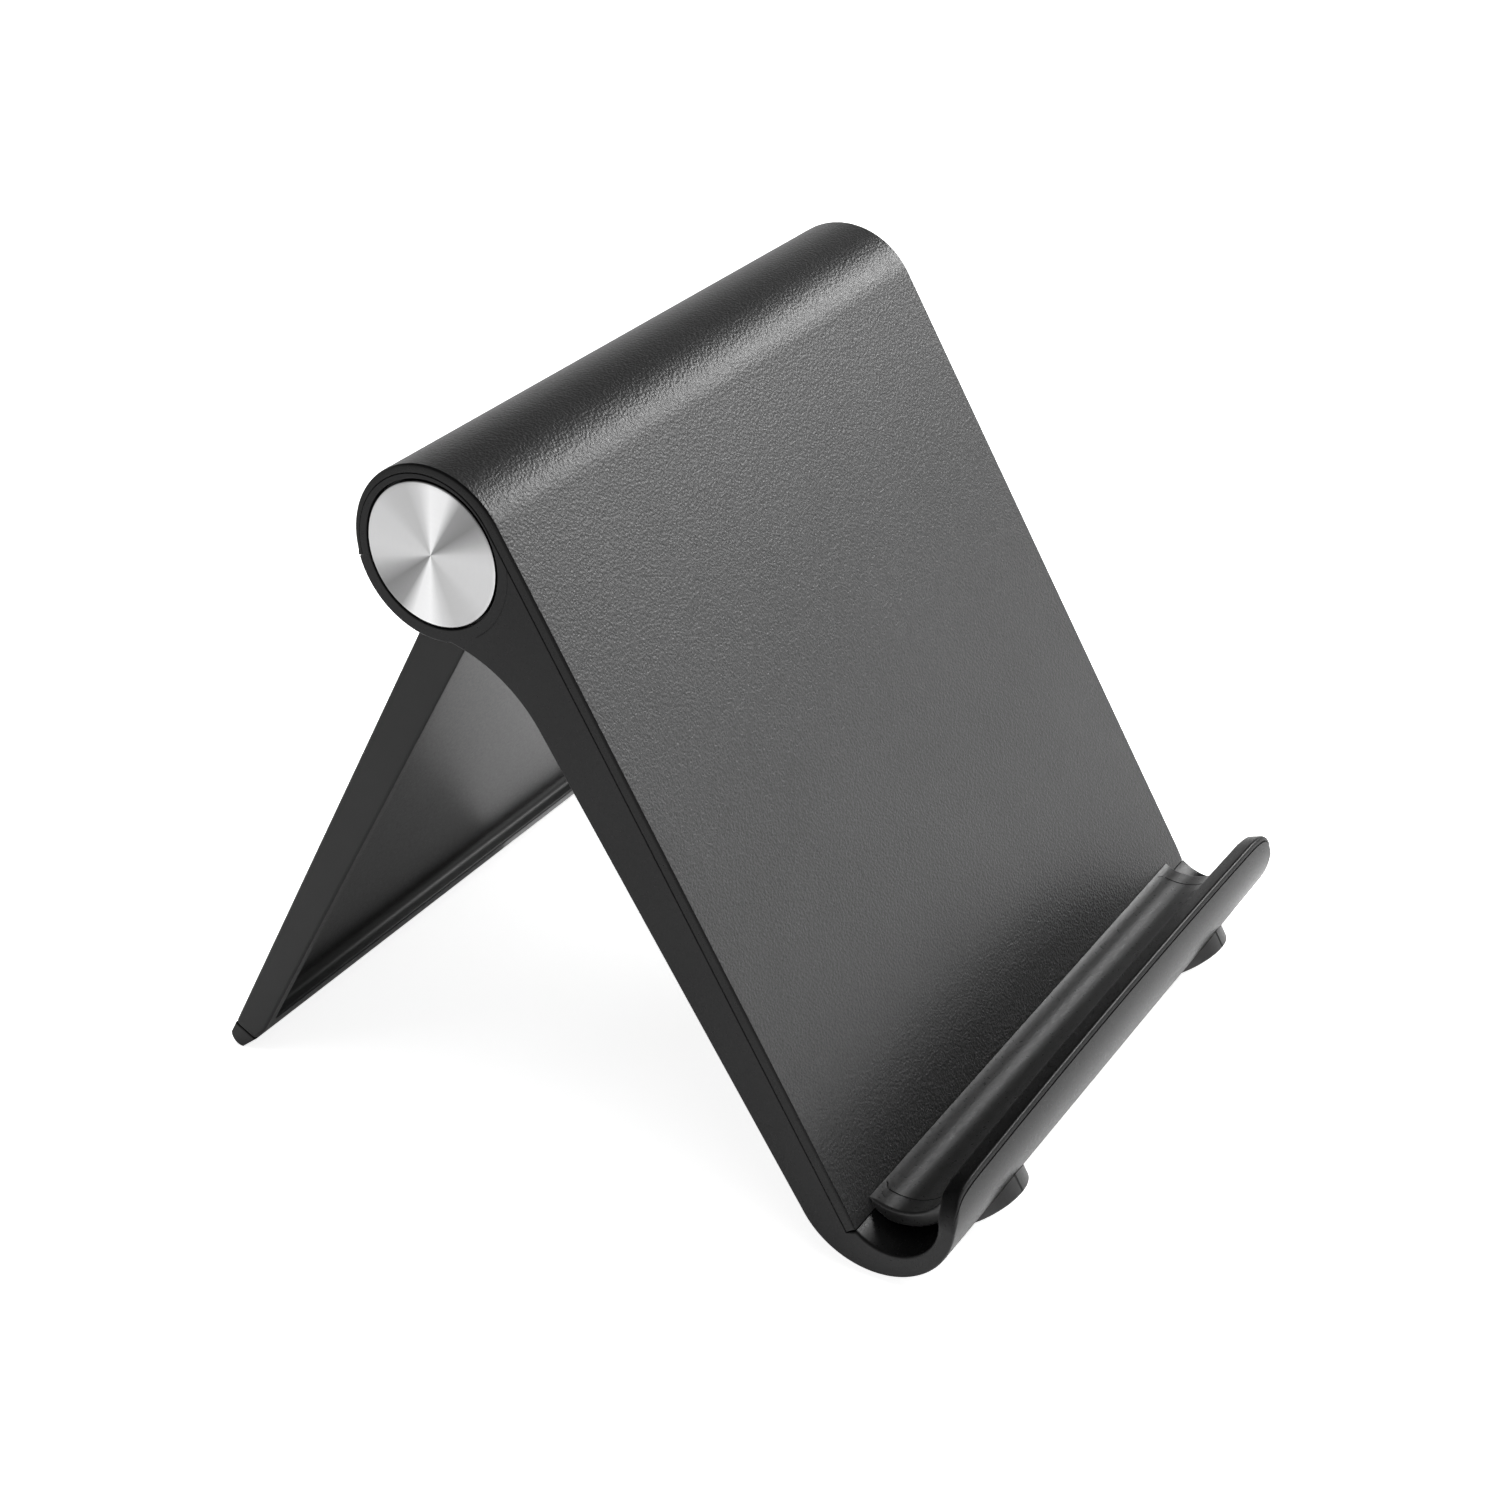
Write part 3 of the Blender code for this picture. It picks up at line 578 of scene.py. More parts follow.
def hinge_bore(side):
    """From the inside out: the bush's hole, the cup's bore and the disc's recess with its flared mouth."""
    flare, beyond = 0.12 * MM, 1 * MM
    bore = [
        (CUP_FLOOR[0] - beyond, 0), (CUP_FLOOR[0] - beyond, BUSH_HOLE), (CUP_FLOOR[1], BUSH_HOLE),
        (CUP_FLOOR[1], CUP_BORE), (RECESS_FLOOR, CUP_BORE), (RECESS_FLOOR, RECESS_RADIUS),
        (HALF_WIDTH - flare, RECESS_RADIUS),
    ]
    for turn in (30, 60, 90):
        a = math.radians(turn)
        bore.append((HALF_WIDTH - flare * (1 - math.sin(a)), RECESS_RADIUS + flare * (1 - math.cos(a))))
    bore += [(HALF_WIDTH + beyond, RECESS_RADIUS + flare), (HALF_WIDTH + beyond, 0)]
    return lathe("hinge_bore", [(side * along, radius) for along, radius in bore], PANEL, count=160)


def hinge_cup(side, inside):
    """The thick wall round the bush, from the cup's floor into the cheek."""
    overlap = 0.5 * MM
    low, high = side * CUP_FLOOR[0], side * (inside + overlap)
    return lathe("hinge_cup", [(low, 0), (low, CUP_RADIUS), (high, CUP_RADIUS), (high, 0)], PANEL)


def make_frame():
    inside = HALF_WIDTH - CHEEK_THICKNESS
    shell = frame_shape()
    carve(shell, prism("frame_cavity", frame_cavity(), -inside, inside, PANEL))
    for side in (-1, 1):
        carve(shell, hinge_cup(side, inside), operation="UNION")
        carve(shell, hinge_bore(side))
        carve(shell, witness_line(side))

    tolerance, pocket_depth, clear_of_bore, rim_round = 0.05 * MM, 6.5 * MM, 7.7 * MM, 0.22 * MM

    def back_rim(middle):
        at_cheek = abs(abs(middle.x) - inside) < tolerance
        return at_cheek and middle.y > -pocket_depth and math.hypot(middle.y, middle.z) > clear_of_bore

    ease_edges(shell, rim_round, back_rim)
    return even_shading(shell)


# ---- the cover ----


def cover_pairs():
    """Facing points on the cover's outer and inner side, from its wrapped end to its low edge."""
    seat_height, seat_depth = COVER_SEAT
    inner = -FRAME_FACE - SEAM_GAP / 2
    pairs = []
    for k in range(COVER_FACETS + 1):
        angle = COVER_WRAP_END + (180 - COVER_WRAP_END) * k / COVER_FACETS
        a = math.radians(angle)
        outer = (BARREL_RADIUS * math.cos(a), BARREL_RADIUS * math.sin(a))
        pairs.append((outer, seam_point(angle, SEAM_GAP / 2)))
    pairs.append(((-BARREL_RADIUS, seat_height), (inner, seat_height)))
    pairs.append(((-BARREL_RADIUS + seat_depth, COVER_LOW_EDGE), (inner, COVER_LOW_EDGE)))
    return pairs


def make_cover():
    outer_round, inner_round = 0.32 * MM, 0.06 * MM
    cover = paired_loft("textured_cover", cover_pairs(), COVER_HALF, (outer_round, inner_round), PANEL, 6)
    return even_shading(cover)


def mark_plain_faces(cover):
    """Gives the second material to the cover's ends and to its wrapped end below the textured face."""
    facing_side, below_face = 0.25, 0.3 * MM
    for face in cover.data.polygons:
        side_on = abs(face.normal.x) > facing_side
        depth = BARREL_RADIUS - math.hypot(face.center.y, face.center.z)
        under_face = depth > below_face and face.center.z > 0
        face.material_index = 1 if side_on or under_face else 0


# ---- soft parts ----


def from_centre(centre, radius, angle):
    """A point at an angle in degrees on a circle."""
    a = math.radians(angle)
    return centre + Vector((math.cos(a), math.sin(a))) * radius


def pad_pairs():
    """Facing points on the pad's top and underside, from the cover's face to the lip."""
    seat = TROUGH_RADIUS - GAP
    cover_face = -BARREL_RADIUS - GAP
    back = 360 - math.degrees(math.acos((cover_face - PAD_CENTRE.x) / PAD_TOP_RADIUS))
    seat_back = -math.acos((cover_face - TROUGH_CENTRE.x) / seat)
    first_top = (cover_face, PAD_CENTRE.y + PAD_TOP_RADIUS * math.sin(math.radians(back)))
    pairs = [(first_top, (cover_face, TROUGH_CENTRE.y + seat * math.sin(seat_back)))]
    front, steps = 218, 48
    above_corner = []
    for k in range(1, steps + 1):
        angle = back + (front - back) * k / steps
        top = from_centre(PAD_CENTRE, PAD_TOP_RADIUS, angle)
        low = from_centre(PAD_CENTRE, PAD_TOP_RADIUS + PAD_THICKNESS, angle)
        if (low - TROUGH_CENTRE).length > seat:
            low = Vector(ray_to_circle(PAD_CENTRE, angle, TROUGH_CENTRE, seat))
        if low.x >= cover_face:
            above_corner.append(top)
            continue
        if above_corner:
            corner = Vector(pairs[-1][1])
            for place, earlier in enumerate(above_corner, 1):
                pairs.append((tuple(earlier), tuple(corner.lerp(low, place / (len(above_corner) + 1)))))
            above_corner = []
        if (low - top).length > GAP:
            pairs.append((tuple(top), tuple(low)))
    for y, z, angle in PAD_FRONT_EDGE:
        pairs.append(((y, z), tuple(from_centre(TROUGH_CENTRE, seat, angle))))
    return pairs


def make_pad():
    top_round, low_round = 0.35 * MM, 0.3 * MM
    pad = paired_loft("silicone_pad", pad_pairs(), PAD_HALF, (top_round, low_round), PANEL)
    for side in (-1, 1):
        carve(pad, *pad_marks(side))
    return even_shading(pad)


def pad_marks(side):
    """A fine line near the pad's end, parallel to the end, and a short tick behind it."""
    inset, depth = 2.6 * MM, 0.1 * MM
    line_angles = range(-44, -108, -4)
    tick = ((0.8 * MM, -38), (0.08 * MM, -42))

    def spot(back, angle):
        on_top = from_centre(PAD_CENTRE, PAD_TOP_RADIUS, angle)
        return (side * (PAD_HALF - inset - back), on_top.x, on_top.y)

    line = [spot(0, angle) for angle in line_angles]
    short = [spot(back, angle) for back, angle in tick]
    return groove_cutter("pad_line", line, depth, PANEL), groove_cutter("pad_tick", short, depth, PANEL)


def make_foot(name, side):
    """A round foot with an eased sole, a saddle for the hook, a flat heel on the desk and two mould lines."""
    edge = 0.25 * MM
    top = HOOK_CENTRE.y - 0.6 * HOOK_RADIUS
    profile = [(FOOT_SOLE, 0)]
    for turn in (0, 22, 45, 68, 90):
        a = math.radians(turn)
        profile.append((FOOT_SOLE + edge * (1 - math.cos(a)), FOOT_RADIUS - edge * (1 - math.sin(a))))
    profile += [(top, FOOT_RADIUS), (top, 0)]
    middle = side * FOOT_X
    foot = lathe(name, profile, PANEL, "Z", (middle, HOOK_CENTRE.x, 0), count=96)
    hook = arc(HOOK_CENTRE, HOOK_RADIUS + GAP / 2, 200, 340)
    hook += [(hook[-1][0], HOOK_CENTRE.y), (hook[0][0], HOOK_CENTRE.y)]
    reach = FOOT_RADIUS + 2 * MM
    carve(foot, prism("saddle", hook, middle - reach, middle + reach, PANEL))
    desk = [(-100 * MM, -10 * MM), (0.0, -10 * MM), (0.0, 0.0), (-100 * MM, 0.0)]
    carve(foot, prism("heel_facet", desk, middle - reach, middle + reach, Matrix.Identity(4)))
    line_depth, beyond = 0.2 * MM, 0.5 * MM
    for front in (-1, 1):
        line_y = HOOK_CENTRE.x + front * FOOT_RADIUS
        path = [(middle, line_y, FOOT_SOLE - beyond), (middle, line_y, top + beyond)]
        carve(foot, groove_cutter("foot_line", path, line_depth, PANEL))
    return even_shading(foot)


# ---- the leg ----


def leg_outline():
    """The leg's side profile: knuckle, outer face, heel and the rim's sloping edge."""
    meets_knuckle = -math.sqrt(KNUCKLE_RADIUS**2 - LEG_OUTER_FACE**2)
    start = angle_of((LEG_OUTER_FACE, meets_knuckle)) % 360
    outline = arc((0, 0), KNUCKLE_RADIUS, 180, start - 360)
    outline += [(LEG_OUTER_FACE, LEG_BODY_END), LEG_HEEL, LEG_RIM_LOW, LEG_RIM_TOP]
    corner_radius, least_turn = 0.8 * MM, 12
    return softened(outline, corner_radius, least_turn)


def rounded_rectangle(half_x, low_z, high_z, radius):
    """Points (x, z) round a rectangle with round corners."""
    turns = range(0, 91, 15)
    corners = [(half_x, high_z, 0), (-half_x, high_z, 90), (-half_x, low_z, 180), (half_x, low_z, 270)]
    points = []
    for x, z, start in corners:
        centre_x = x - math.copysign(radius, x)
        centre_z = z - radius if z == high_z else z + radius
        for turn in turns:
            a = math.radians(start + turn)
            points.append((centre_x + radius * math.cos(a), centre_z + radius * math.sin(a)))
    return points


def rim_depth(z):
    """The rim's plane at a height."""
    slope = (LEG_RIM_LOW[0] - LEG_RIM_TOP[0]) / (LEG_RIM_LOW[1] - LEG_RIM_TOP[1])
    return LEG_RIM_TOP[0] + slope * (z - LEG_RIM_TOP[1])


def fillet_inset(radius, height):
    """How far a fillet stands in from the wall at a height above the floor."""
    if height >= radius:
        return 0.0
    return radius - math.sqrt(radius**2 - (radius - height) ** 2)


def make_tray_cutter():
    """Stacked sections: fillets round the floor, straight walls, and a flare at the mouth."""
    tray_floor = LEG_OUTER_FACE - LEG_PLATE
    half = LEG_HALF - LEG_RIM_WIDTH
    side_fillet, low_fillet, top_fillet, mouth_flare = 0.25 * MM, 1.3 * MM, 0.8 * MM, 0.3 * MM
    fillet_heights = (0.0, 0.06 * MM, 0.15 * MM, 0.25 * MM, 0.45 * MM, 0.7 * MM, 1.0 * MM, 1.3 * MM)
    flare_depths = (0.3 * MM, 0.2 * MM, 0.1 * MM, 0.03 * MM)
    builder = bmesh.new()
    rows = []

    def section(depth_at, side, low, top):
        corner = 0.5 * MM
        points = rounded_rectangle(half - side, TRAY_LOW + low, TRAY_TOP - top, corner)
        rows.append([builder.verts.new((x, depth_at(z), z)) for x, z in points])

    for height in fillet_heights:
        insets = [fillet_inset(fillet, height) for fillet in (side_fillet, low_fillet, top_fillet)]
        section(lambda z, h=height: tray_floor - h, *insets)
    for below in flare_depths:
        flare = -fillet_inset(mouth_flare, below)
        section(lambda z, b=below: rim_depth(z) + b, flare, flare, flare)
    beyond = 3 * MM
    section(lambda z: rim_depth(z) - beyond, -mouth_flare, -mouth_flare, -mouth_flare)
    bridge(builder, rows)
    builder.faces.new(rows[0])
    builder.faces.new(rows[-1])
    return finish_mesh("tray_cutter", builder, LEG)


def plug(name, low_x, high_x, radius):
    """A round cutter about the hinge's axis."""
    return lathe(name, [(low_x, 0), (low_x, radius), (high_x, radius), (high_x, 0)], LEG)


def make_leg():
    end_round, beyond_end, beyond_pit = 0.35 * MM, 1 * MM, 2.5 * MM
    leg = plain_loft("leg_shell", leg_outline(), LEG_HALF, end_round, LEG)
    carve(leg, make_tray_cutter())
    for side in (-1, 1):
        carve(leg, plug("counterbore", side * LEG_PIT_FLOOR, side * (LEG_HALF + beyond_end), LEG_PIT_RADIUS))
    reach = LEG_PIT_FLOOR + beyond_pit
    carve(leg, plug("shaft_bore", -reach, reach, LEG_BORE_RADIUS))
    return even_shading(leg)


def make_leg_nose():
    """The rounded end of the leg, with a hairline between it and the body."""
    hairline, tuck, end_round = 0.04 * MM, 0.02 * MM, 0.25 * MM
    base = LEG_BODY_END - hairline
    start, end, step = 335, 239, 12
    heel = (LEG_HEEL[0] + tuck, base)
    outline = [(LEG_OUTER_FACE, base), *arc(NOSE_CENTRE, NOSE_RADIUS, start, end, step), heel]
    return even_shading(plain_loft("leg_nose", outline, LEG_HALF, end_round, LEG))


# ---- the end discs ----


def make_disc(name, side):
    """A spun disc: a plain rim with an eased edge round a face of very fine turned grooves."""
    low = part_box("end_disc_right")[0].x
    edge, plain_rim = 0.18 * MM, 0.45 * MM
    pitch, depth, least_radius = 0.2 * MM, 0.006 * MM, 0.3 * MM
    profile = [(low, 0), (low, DISC_RADIUS)]
    for turn in (0, 30, 60, 90):
        a = math.radians(turn)
        profile.append((DISC_OUT - edge * (1 - math.sin(a)), DISC_RADIUS - edge * (1 - math.cos(a))))
    radius = DISC_RADIUS - plain_rim
    while radius > least_radius:
        profile.append((DISC_OUT, radius))
        profile.append((DISC_OUT - depth, radius - pitch / 2))
        radius -= pitch
    profile.append((DISC_OUT, 0))
    disc = lathe(name, [(side * along, radius) for along, radius in profile], PANEL, count=144)
    return even_shading(disc, sharp_angle=50)


# ---- materials ----


def new_material(name):
    material = bpy.data.materials.new(name)
    material.use_nodes = True
    return material, material.node_tree, material.node_tree.nodes["Principled BSDF"]


def feed(tree, node, inputs):
    """Sets a node's inputs, each from a plain value or from another node's output."""
    for key, value in inputs.items():
        if isinstance(value, bpy.types.NodeSocket):
            tree.links.new(value, node.inputs[key])
        else:
            node.inputs[key].default_value = value


def add_node(tree, kind, inputs=None, **settings):
    node = tree.nodes.new(kind)
    for key, value in settings.items():
        setattr(node, key, value)
    feed(tree, node, inputs or {})
    return node


def local_places(tree):
    """Object coordinates in millimetres."""
    metres = add_node(tree, "ShaderNodeTexCoord").outputs["Object"]
    scaled = add_node(tree, "ShaderNodeVectorMath", {0: metres, 1: (1 / MM,) * 3}, operation="MULTIPLY")
    return scaled.outputs["Vector"]


def noise(tree, places, scale, detail, roughness=0.55):
    inputs = {"Vector": places, "Scale": scale, "Detail": detail, "Roughness": roughness}
    return add_node(tree, "ShaderNodeTexNoise", inputs).outputs["Fac"]


def spread(tree, value, low, high, from_low=0.3, from_high=0.7):
    """A value taken from one range to another."""
    inputs = {"Value": value, "From Min": from_low, "From Max": from_high, "To Min": low, "To Max": high}
    return add_node(tree, "ShaderNodeMapRange", inputs).outputs["Result"]


def tinted(tree, factor, dark, light):
    """A colour between two others."""
    inputs = {"Factor": factor, "A": (*dark, 1), "B": (*light, 1)}
    return add_node(tree, "ShaderNodeMix", inputs, data_type="RGBA").outputs["Result"]


def bump(tree, height, depth):
    """Bump from a height of 0 to 1 that stands for a real depth in metres."""
    inputs = {"Height": height, "Strength": 1.0, "Distance": depth}
    return add_node(tree, "ShaderNodeBump", inputs).outputs["Normal"]


def moulded_plastic(name, dark, light, roughness, ripple):
    """Smooth moulded plastic: slow colour drift, a faint ripple and uneven gloss."""
    drift_scale, ripple_scale, reflection = 0.06, 3.2, 0.22
    material, tree, shader = new_material(name)
    places = local_places(tree)
    drift = noise(tree, places, drift_scale, 2.0)
    fine = noise(tree, places, ripple_scale, 4.0)
    feed(tree, shader, {
        "Specular IOR Level": reflection,
        "Base Color": tinted(tree, spread(tree, drift, 0, 1), dark, light),
        "Roughness": spread(tree, fine, roughness - 0.04, roughness + 0.05),
        "Normal": bump(tree, fine, ripple),
    })
    return material


def eroded_plastic(name):
    """Fine spark-eroded mould texture: small domes and pits, with painted shade that darkens the pits."""
    cell_scale, cell_softness, grain_scale, drift_scale, depth = 2.9, 0.6, 4.8, 0.05, 0.045 * MM
    # the first colour is painted shade in the pits, the second the domes' own colour
    pit_shade_colour, top_colour, grain_share = (0.038, 0.038, 0.038), (0.082, 0.082, 0.083), 0.75
    material, tree, shader = new_material(name)
    places = local_places(tree)
    cell_inputs = {"Vector": places, "Scale": cell_scale, "Smoothness": cell_softness}
    cells = add_node(tree, "ShaderNodeTexVoronoi", cell_inputs, feature="SMOOTH_F1").outputs["Distance"]
    grains = noise(tree, places, grain_scale, 3.0, 0.6)
    height = add_node(tree, "ShaderNodeMath", {0: cells, 1: grains}, operation="ADD")
    drift = noise(tree, places, drift_scale, 2.0)
    # painted shade: darker where the grains, and with them the relief, are low
    painted_pit_shade = spread(tree, grains, 0, 1, 0.32, 0.68)
    slow_shade = spread(tree, drift, 0, 1 - grain_share)
    shade_inputs = {0: painted_pit_shade, 1: grain_share, 2: slow_shade}
    shade = add_node(tree, "ShaderNodeMath", shade_inputs, operation="MULTIPLY_ADD")
    feed(tree, shader, {
        "Base Color": tinted(tree, shade.outputs["Value"], pit_shade_colour, top_colour),
        "Roughness": spread(tree, grains, 0.28, 0.42),
        "Normal": bump(tree, height.outputs["Value"], depth),
    })
    return material


def soft_rubber(name, dark, light, roughness, grain):
    """Silicone, rubber and other dull parts: a fine skin, and light dust that drifts over the colour."""
    skin_scale, dust_scale, sheen = 2.4, 0.35, 0.08
    material, tree, shader = new_material(name)
    places = local_places(tree)
    skin = noise(tree, places, skin_scale, 4.0)
    dust = noise(tree, places, dust_scale, 5.0, 0.7)
    feed(tree, shader, {
        "Base Color": tinted(tree, spread(tree, dust, 0, 1, 0.35, 0.7), dark, light),
        "Roughness": spread(tree, skin, roughness - 0.06, roughness + 0.06),
        "Normal": bump(tree, skin, grain),
        "Sheen Weight": sheen,
    })
    return material


PAINTED_REFLECTION_STOPS = [
    # painted reflection: the brightness of the disc's bright and dark sectors round half a turn, as (share of the
    # half turn, level)
    (0.0, 0.645), (0.2, 0.62), (0.3, 0.53), (0.4, 0.5), (0.47, 0.62), (0.54, 0.88), (0.63, 0.82), (0.7, 0.3),
    (0.8, 0.23), (0.88, 0.4), (0.94, 0.6), (1.0, 0.645),
]


def painted_reflection_colour(tree, parts):
    """Painted reflection: the colour of the disc's bright and dark sectors, by the angle about the X axis."""
    coolness = 1.005  # a touch more blue than red and green
    angle_inputs = {0: parts.outputs["Z"], 1: parts.outputs["Y"]}
    angle = add_node(tree, "ShaderNodeMath", angle_inputs, operation="ARCTAN2").outputs["Value"]
    turn_inputs = {0: angle, 1: 1 / math.pi, 2: 1.0}
    turn = add_node(tree, "ShaderNodeMath", turn_inputs, operation="MULTIPLY_ADD").outputs["Value"]
    half_turn = add_node(tree, "ShaderNodeMath", {0: turn}, operation="FRACT").outputs["Value"]
    sectors = add_node(tree, "ShaderNodeValToRGB", {"Fac": half_turn})
    ramp = sectors.color_ramp
    while len(ramp.elements) < len(PAINTED_REFLECTION_STOPS):
        ramp.elements.new(0.5)
    for element, (position, level) in zip(ramp.elements, PAINTED_REFLECTION_STOPS):
        element.position = position
        element.color = (level, level, level * coolness, 1)
    return sectors.outputs["Color"]


def ring_noise(tree, parts):
    """Noise that changes only with the distance from the X axis."""
    ring_scale = 6.0
    flat = add_node(tree, "ShaderNodeCombineXYZ", {"X": parts.outputs["Y"], "Y": parts.outputs["Z"]})
    radius = add_node(tree, "ShaderNodeVectorMath", {0: flat.outputs["Vector"]}, operation="LENGTH")
    along = add_node(tree, "ShaderNodeCombineXYZ", {"X": radius.outputs["Value"]})
    return noise(tree, along.outputs["Vector"], ring_scale, 4.0, 0.7)


def spun_metal(name):
    """Turned aluminium: fine rings about the hinge's axis, with a painted reflection in bright and dark sectors.
    """
    ring_depth, dark_ring, bright_ring = 0.004 * MM, (0.9, 0.9, 0.9), (1.0, 1.0, 1.0)
    material, tree, shader = new_material(name)
    centred_inputs = {0: local_places(tree), 1: HINGE / MM}
    centred = add_node(tree, "ShaderNodeVectorMath", centred_inputs, operation="SUBTRACT")
    parts = add_node(tree, "ShaderNodeSeparateXYZ", {"Vector": centred.outputs["Vector"]})
    rings = ring_noise(tree, parts)
    ring_shade = tinted(tree, spread(tree, rings, 0, 1), dark_ring, bright_ring)
    # the painted reflection of the sectors, multiplied by the rings' tone
    reflection_and_rings_inputs = {"Factor": 1.0, "A": painted_reflection_colour(tree, parts), "B": ring_shade}
    reflection_and_rings = add_node(tree, "ShaderNodeMix", reflection_and_rings_inputs, data_type="RGBA", blend_type="MULTIPLY")
    tangent = add_node(tree, "ShaderNodeTangent", direction_type="RADIAL", axis="X")
    feed(tree, shader, {
        "Base Color": reflection_and_rings.outputs["Result"],
        "Metallic": 1.0,
        "Roughness": 0.27,
        "Anisotropic": 0.6,
        "Tangent": tangent.outputs["Tangent"],
        "Normal": bump(tree, rings, ring_depth),
    })
    return material


def plated_metal(name, colour, roughness):
    """Steel parts: a slightly hazy colour and gloss, with a very fine grain."""
    haze_scale, grain_scale, grain_depth, haze_shade = 0.9, 5.0, 0.003 * MM, 0.86
    material, tree, shader = new_material(name)
    places = local_places(tree)
    haze = noise(tree, places, haze_scale, 4.0)
    grains = noise(tree, places, grain_scale, 2.0)
    darker = tuple(channel * haze_shade for channel in colour)
    feed(tree, shader, {
        "Base Color": tinted(tree, spread(tree, haze, 0, 1), darker, colour),
        "Roughness": spread(tree, haze, roughness - 0.05, roughness + 0.08),
        "Normal": bump(tree, grains, grain_depth),
        "Metallic": 1.0,
    })
    return material


def dress(obj, *materials):
    """Gives a piece its materials, in place of any it has."""
    obj.data.materials.clear()
    for material in materials:
        obj.data.materials.append(material)


# ---- build ----

BLACK = (0.006, 0.006, 0.0063)
BLACK_LIGHT = (0.0095, 0.0095, 0.0098)
RIPPLE = 0.004 * MM  # the depth of the black mouldings' ripple

# each plastic and rubber: a dark and a light colour, the roughness, and the depth of its fine relief
frame_plastic = moulded_plastic("frame_plastic", BLACK, BLACK_LIGHT, 0.3, RIPPLE)
leg_plastic = moulded_plastic("leg_plastic", (0.012, 0.012, 0.012), (0.016, 0.016, 0.016), 0.36, RIPPLE)
cover_plastic = eroded_plastic("cover_plastic")
cover_edge = moulded_plastic("cover_edge", (0.004, 0.004, 0.004), (0.007, 0.007, 0.007), 0.24, 0.003 * MM)
silicone = soft_rubber("silicone", (0.02, 0.02, 0.02), (0.032, 0.032, 0.032), 0.32, 0.012 * MM)
foot_rubber = soft_rubber("foot_rubber", (0.010, 0.010, 0.010), (0.018, 0.018, 0.018), 0.4, 0.006 * MM)
aluminium = spun_metal("spun_aluminium")

frame_shell = make_frame()
dress(frame_shell, frame_plastic)
settle(frame_shell, "front_panel", "frame_plastic", "front_frame")

cover = make_cover()
dress(cover, cover_plastic, cover_edge)
mark_plain_faces(cover)
settle(cover, "front_panel", "cover_plastic", "front_cover")

pad = make_pad()
dress(pad, silicone)
settle(pad, "front_panel", "silicone", "hook_pad")

for label, side in (("left", -1), ("right", 1)):
    foot = make_foot(f"rubber_foot_{label}", side)
    dress(foot, foot_rubber)
    settle(foot, "front_panel", "rubber", f"foot_{label}")
    disc = make_disc(f"spun_disc_{label}", side)
    dress(disc, aluminium)
    settle(disc, "front_panel", "spun_aluminium", f"end_disc_{label}")

leg = make_leg()
dress(leg, leg_plastic)
settle(leg, "leg", "frame_plastic", "rear_leg")
nose = make_leg_nose()
dress(nose, leg_plastic)
settle(nose, "leg", "rubber", "leg_grip")

# each metal: a colour and the roughness
steel = plated_metal("zinc_steel", (0.62, 0.62, 0.6), 0.32)
spring_steel = plated_metal("spring_steel", (0.28, 0.28, 0.3), 0.38)
acetal = soft_rubber("acetal", (0.7, 0.7, 0.66), (0.78, 0.78, 0.74), 0.35, 0.002 * MM)
fibre = soft_rubber("friction_fibre", (0.2, 0.09, 0.045), (0.3, 0.15, 0.08), 0.75, 0.03 * MM)
nylon = soft_rubber("blue_nylon", (0.04, 0.1, 0.36), (0.06, 0.14, 0.44), 0.45, 0.002 * MM)
adhesive = soft_rubber("white_adhesive", (0.7, 0.7, 0.67), (0.8, 0.8, 0.77), 0.65, 0.02 * MM)
INNER_PARTS = {
    "hinge_shaft": steel, "lock_nut": steel, "nut_insert": nylon,
    "flat_washer_left": steel, "flat_washer_right": steel,
    "spring_washer_inner": spring_steel, "spring_washer_outer": spring_steel,
    "friction_washer_left": fibre, "friction_washer_right": fibre,
    "bush_left": acetal, "bush_right": acetal,
    "disc_tape_left": adhesive, "disc_tape_right": adhesive,
}
for node, material in INNER_PARTS.items():
    dress(frame["nodes"][node], material)


# ---- floor, light and camera ----


def make_floor():
    """A pale floor, lifted towards white for the camera only, so that it still darkens under the stand."""
    size, clearance, paint = 3.0, 0.02 * MM, (0.94, 0.94, 0.94, 1)
    builder = bmesh.new()
    corners = [builder.verts.new((x * size, y * size, 0)) for x, y in ((-1, -1), (1, -1), (1, 1), (-1, 1))]
    builder.faces.new(corners)
    floor = finish_mesh("floor", builder, Matrix.Translation((0, 0, -clearance)))
    material, tree, shader = new_material("pale_floor")
    seen = add_node(tree, "ShaderNodeLightPath").outputs["Is Camera Ray"]
    feed(tree, shader, {
        "Base Color": paint,
        "Roughness": 0.9,
        "Specular IOR Level": 0.1,
        "Emission Color": (1, 1, 1, 1),
        "Emission Strength": spread(tree, seen, *FLOOR_GLOW, 0.0, 1.0),
    })
    dress(floor, material)
    return floor


HORIZON_LIGHT = 0.95
OVERHEAD_LIGHT = 0.15
ROOM_FADE = (0.12, 0.45)  # the heights of a direction between which the room's light fades
FLOOR_GLOW = (0.15, 0.85)  # for everything else, and for the camera
LIGHTS = [
    # name, place from the stand's middle, point it looks at, size and power
    ("shoulder_light", (0.62, -0.34, 0.36), (0, 0, 0.02), (0.5, 0.12), 3.7),
    ("pad_light", (0.6, 0.18, 0.46), (0, 0, 0), (0.2, 0.2), 0.65),
    ("floor_light", (0.1, -0.1, 1.0), (0, 0, 0), (1.0, 1.0), 8.0),
    ("front_floor_light", (0.2, -0.2, 0.3), (0.1, -0.12, -0.045), (0.4, 0.4), 2.2),
    ("tray_light", (0.072, 0.035, -0.0447), (0.072, 0.035, 0.1), (0.12, 0.07), 0.018),
]


def softbox(name, place, target, size, power):
    """A rectangular light that looks at a point."""
    light = bpy.data.lights.new(name, "AREA")
    light.shape = "RECTANGLE"
    light.size, light.size_y = size
    light.energy = power
    obj = bpy.data.objects.new(name, light)
    bpy.context.scene.collection.objects.link(obj)
    obj.location = place
    obj.rotation_euler = (Vector(target) - Vector(place)).to_track_quat("-Z", "Y").to_euler()
    return obj


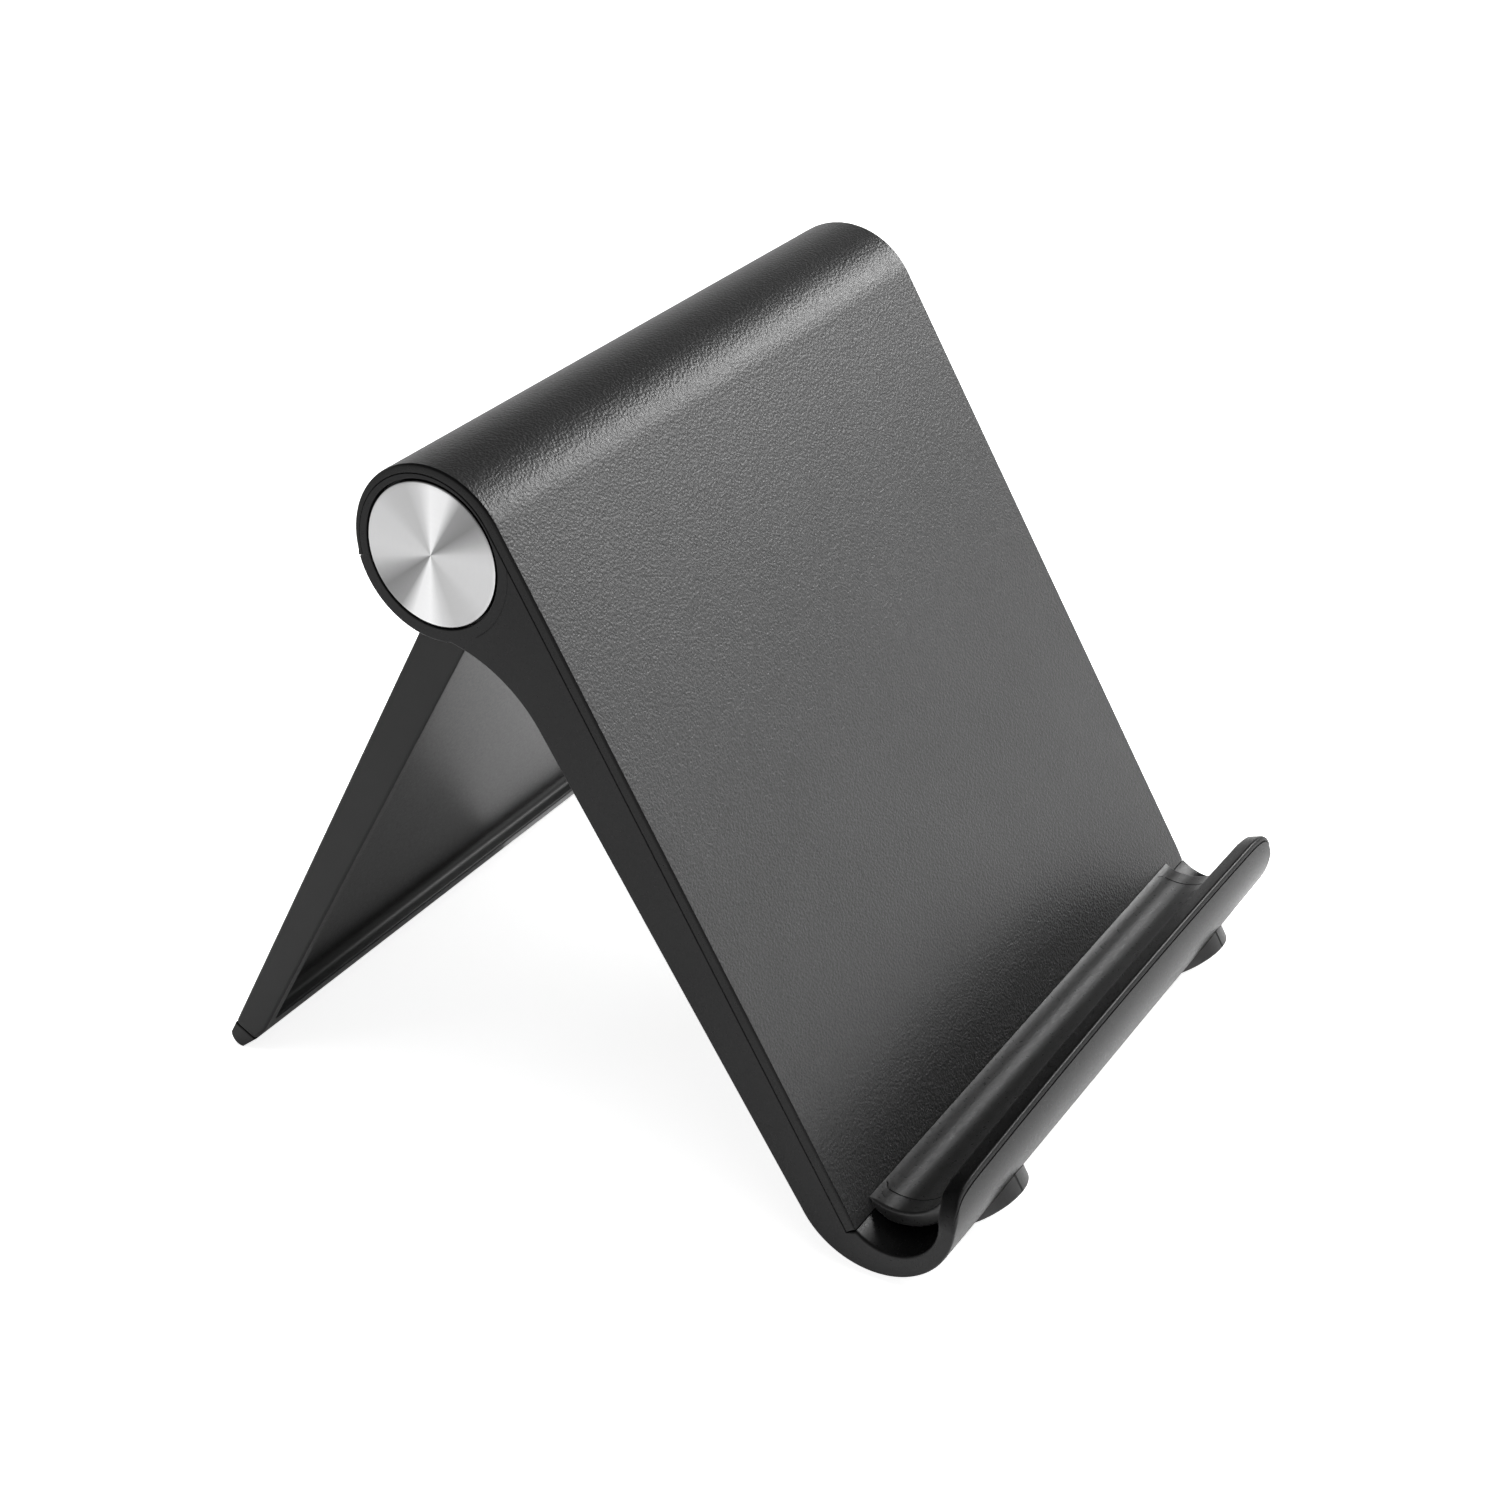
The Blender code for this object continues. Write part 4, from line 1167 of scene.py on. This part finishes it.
def make_world():
    """White for the camera. As a light, the room is bright from the horizon down and dim overhead."""
    world = bpy.data.worlds.new("studio")
    bpy.context.scene.world = world
    world.use_nodes = True
    tree = world.node_tree
    direction = add_node(tree, "ShaderNodeTexCoord").outputs["Generated"]
    parts = add_node(tree, "ShaderNodeSeparateXYZ", {"Vector": direction})
    room = spread(tree, parts.outputs["Z"], HORIZON_LIGHT, OVERHEAD_LIGHT, *ROOM_FADE)
    seen = add_node(tree, "ShaderNodeLightPath").outputs["Is Camera Ray"]
    strength = add_node(tree, "ShaderNodeMix", {"Factor": seen, "A": room, "B": 1.0})
    inputs = {"Color": (1, 1, 1, 1), "Strength": strength.outputs["Result"]}
    feed(tree, tree.nodes["Background"], inputs)


def make_camera():
    """A view from the front left and above: a place and two directions in the panel frame."""
    place = Vector((-243.18, -200.48, 23.39)) * MM
    backwards = Vector((-0.73996, -0.64304, 0.19736)).normalized()
    upwards = Vector((0.42643, -0.22155, 0.87697))
    sideways = upwards.cross(backwards).normalized()
    upwards = backwards.cross(sideways)
    camera_data = bpy.data.cameras.new("camera")
    camera_data.lens = 65.3
    camera_data.sensor_width = 36.0
    camera_data.clip_start = 0.01
    camera = bpy.data.objects.new("camera", camera_data)
    bpy.context.scene.collection.objects.link(camera)
    axes = Matrix((sideways, upwards, backwards)).transposed().to_4x4()
    camera.matrix_world = PANEL @ Matrix.Translation(place) @ axes
    bpy.context.scene.camera = camera


floor = make_floor()
make_world()
make_camera()
stand_middle = Vector((0, 0, 0.045))
lights = {}
for name, offset, aim, size, power in LIGHTS:
    lights[name] = softbox(name, stand_middle + Vector(offset), stand_middle + Vector(aim), size, power)
# these lights act on one piece or on the floor only
receivers = {"floor_light": floor, "front_floor_light": floor, "tray_light": leg, "pad_light": pad}
for name, receiver in receivers.items():
    only = bpy.data.collections.new(f"{name}_receivers")
    only.objects.link(receiver)
    lights[name].light_linking.receiver_collection = only
# these two only make highlights
for name in ("shoulder_light", "pad_light"):
    lights[name].visible_diffuse = False
for light in lights.values():
    light.visible_camera = False
bpy.context.scene.view_settings.view_transform = "Standard"
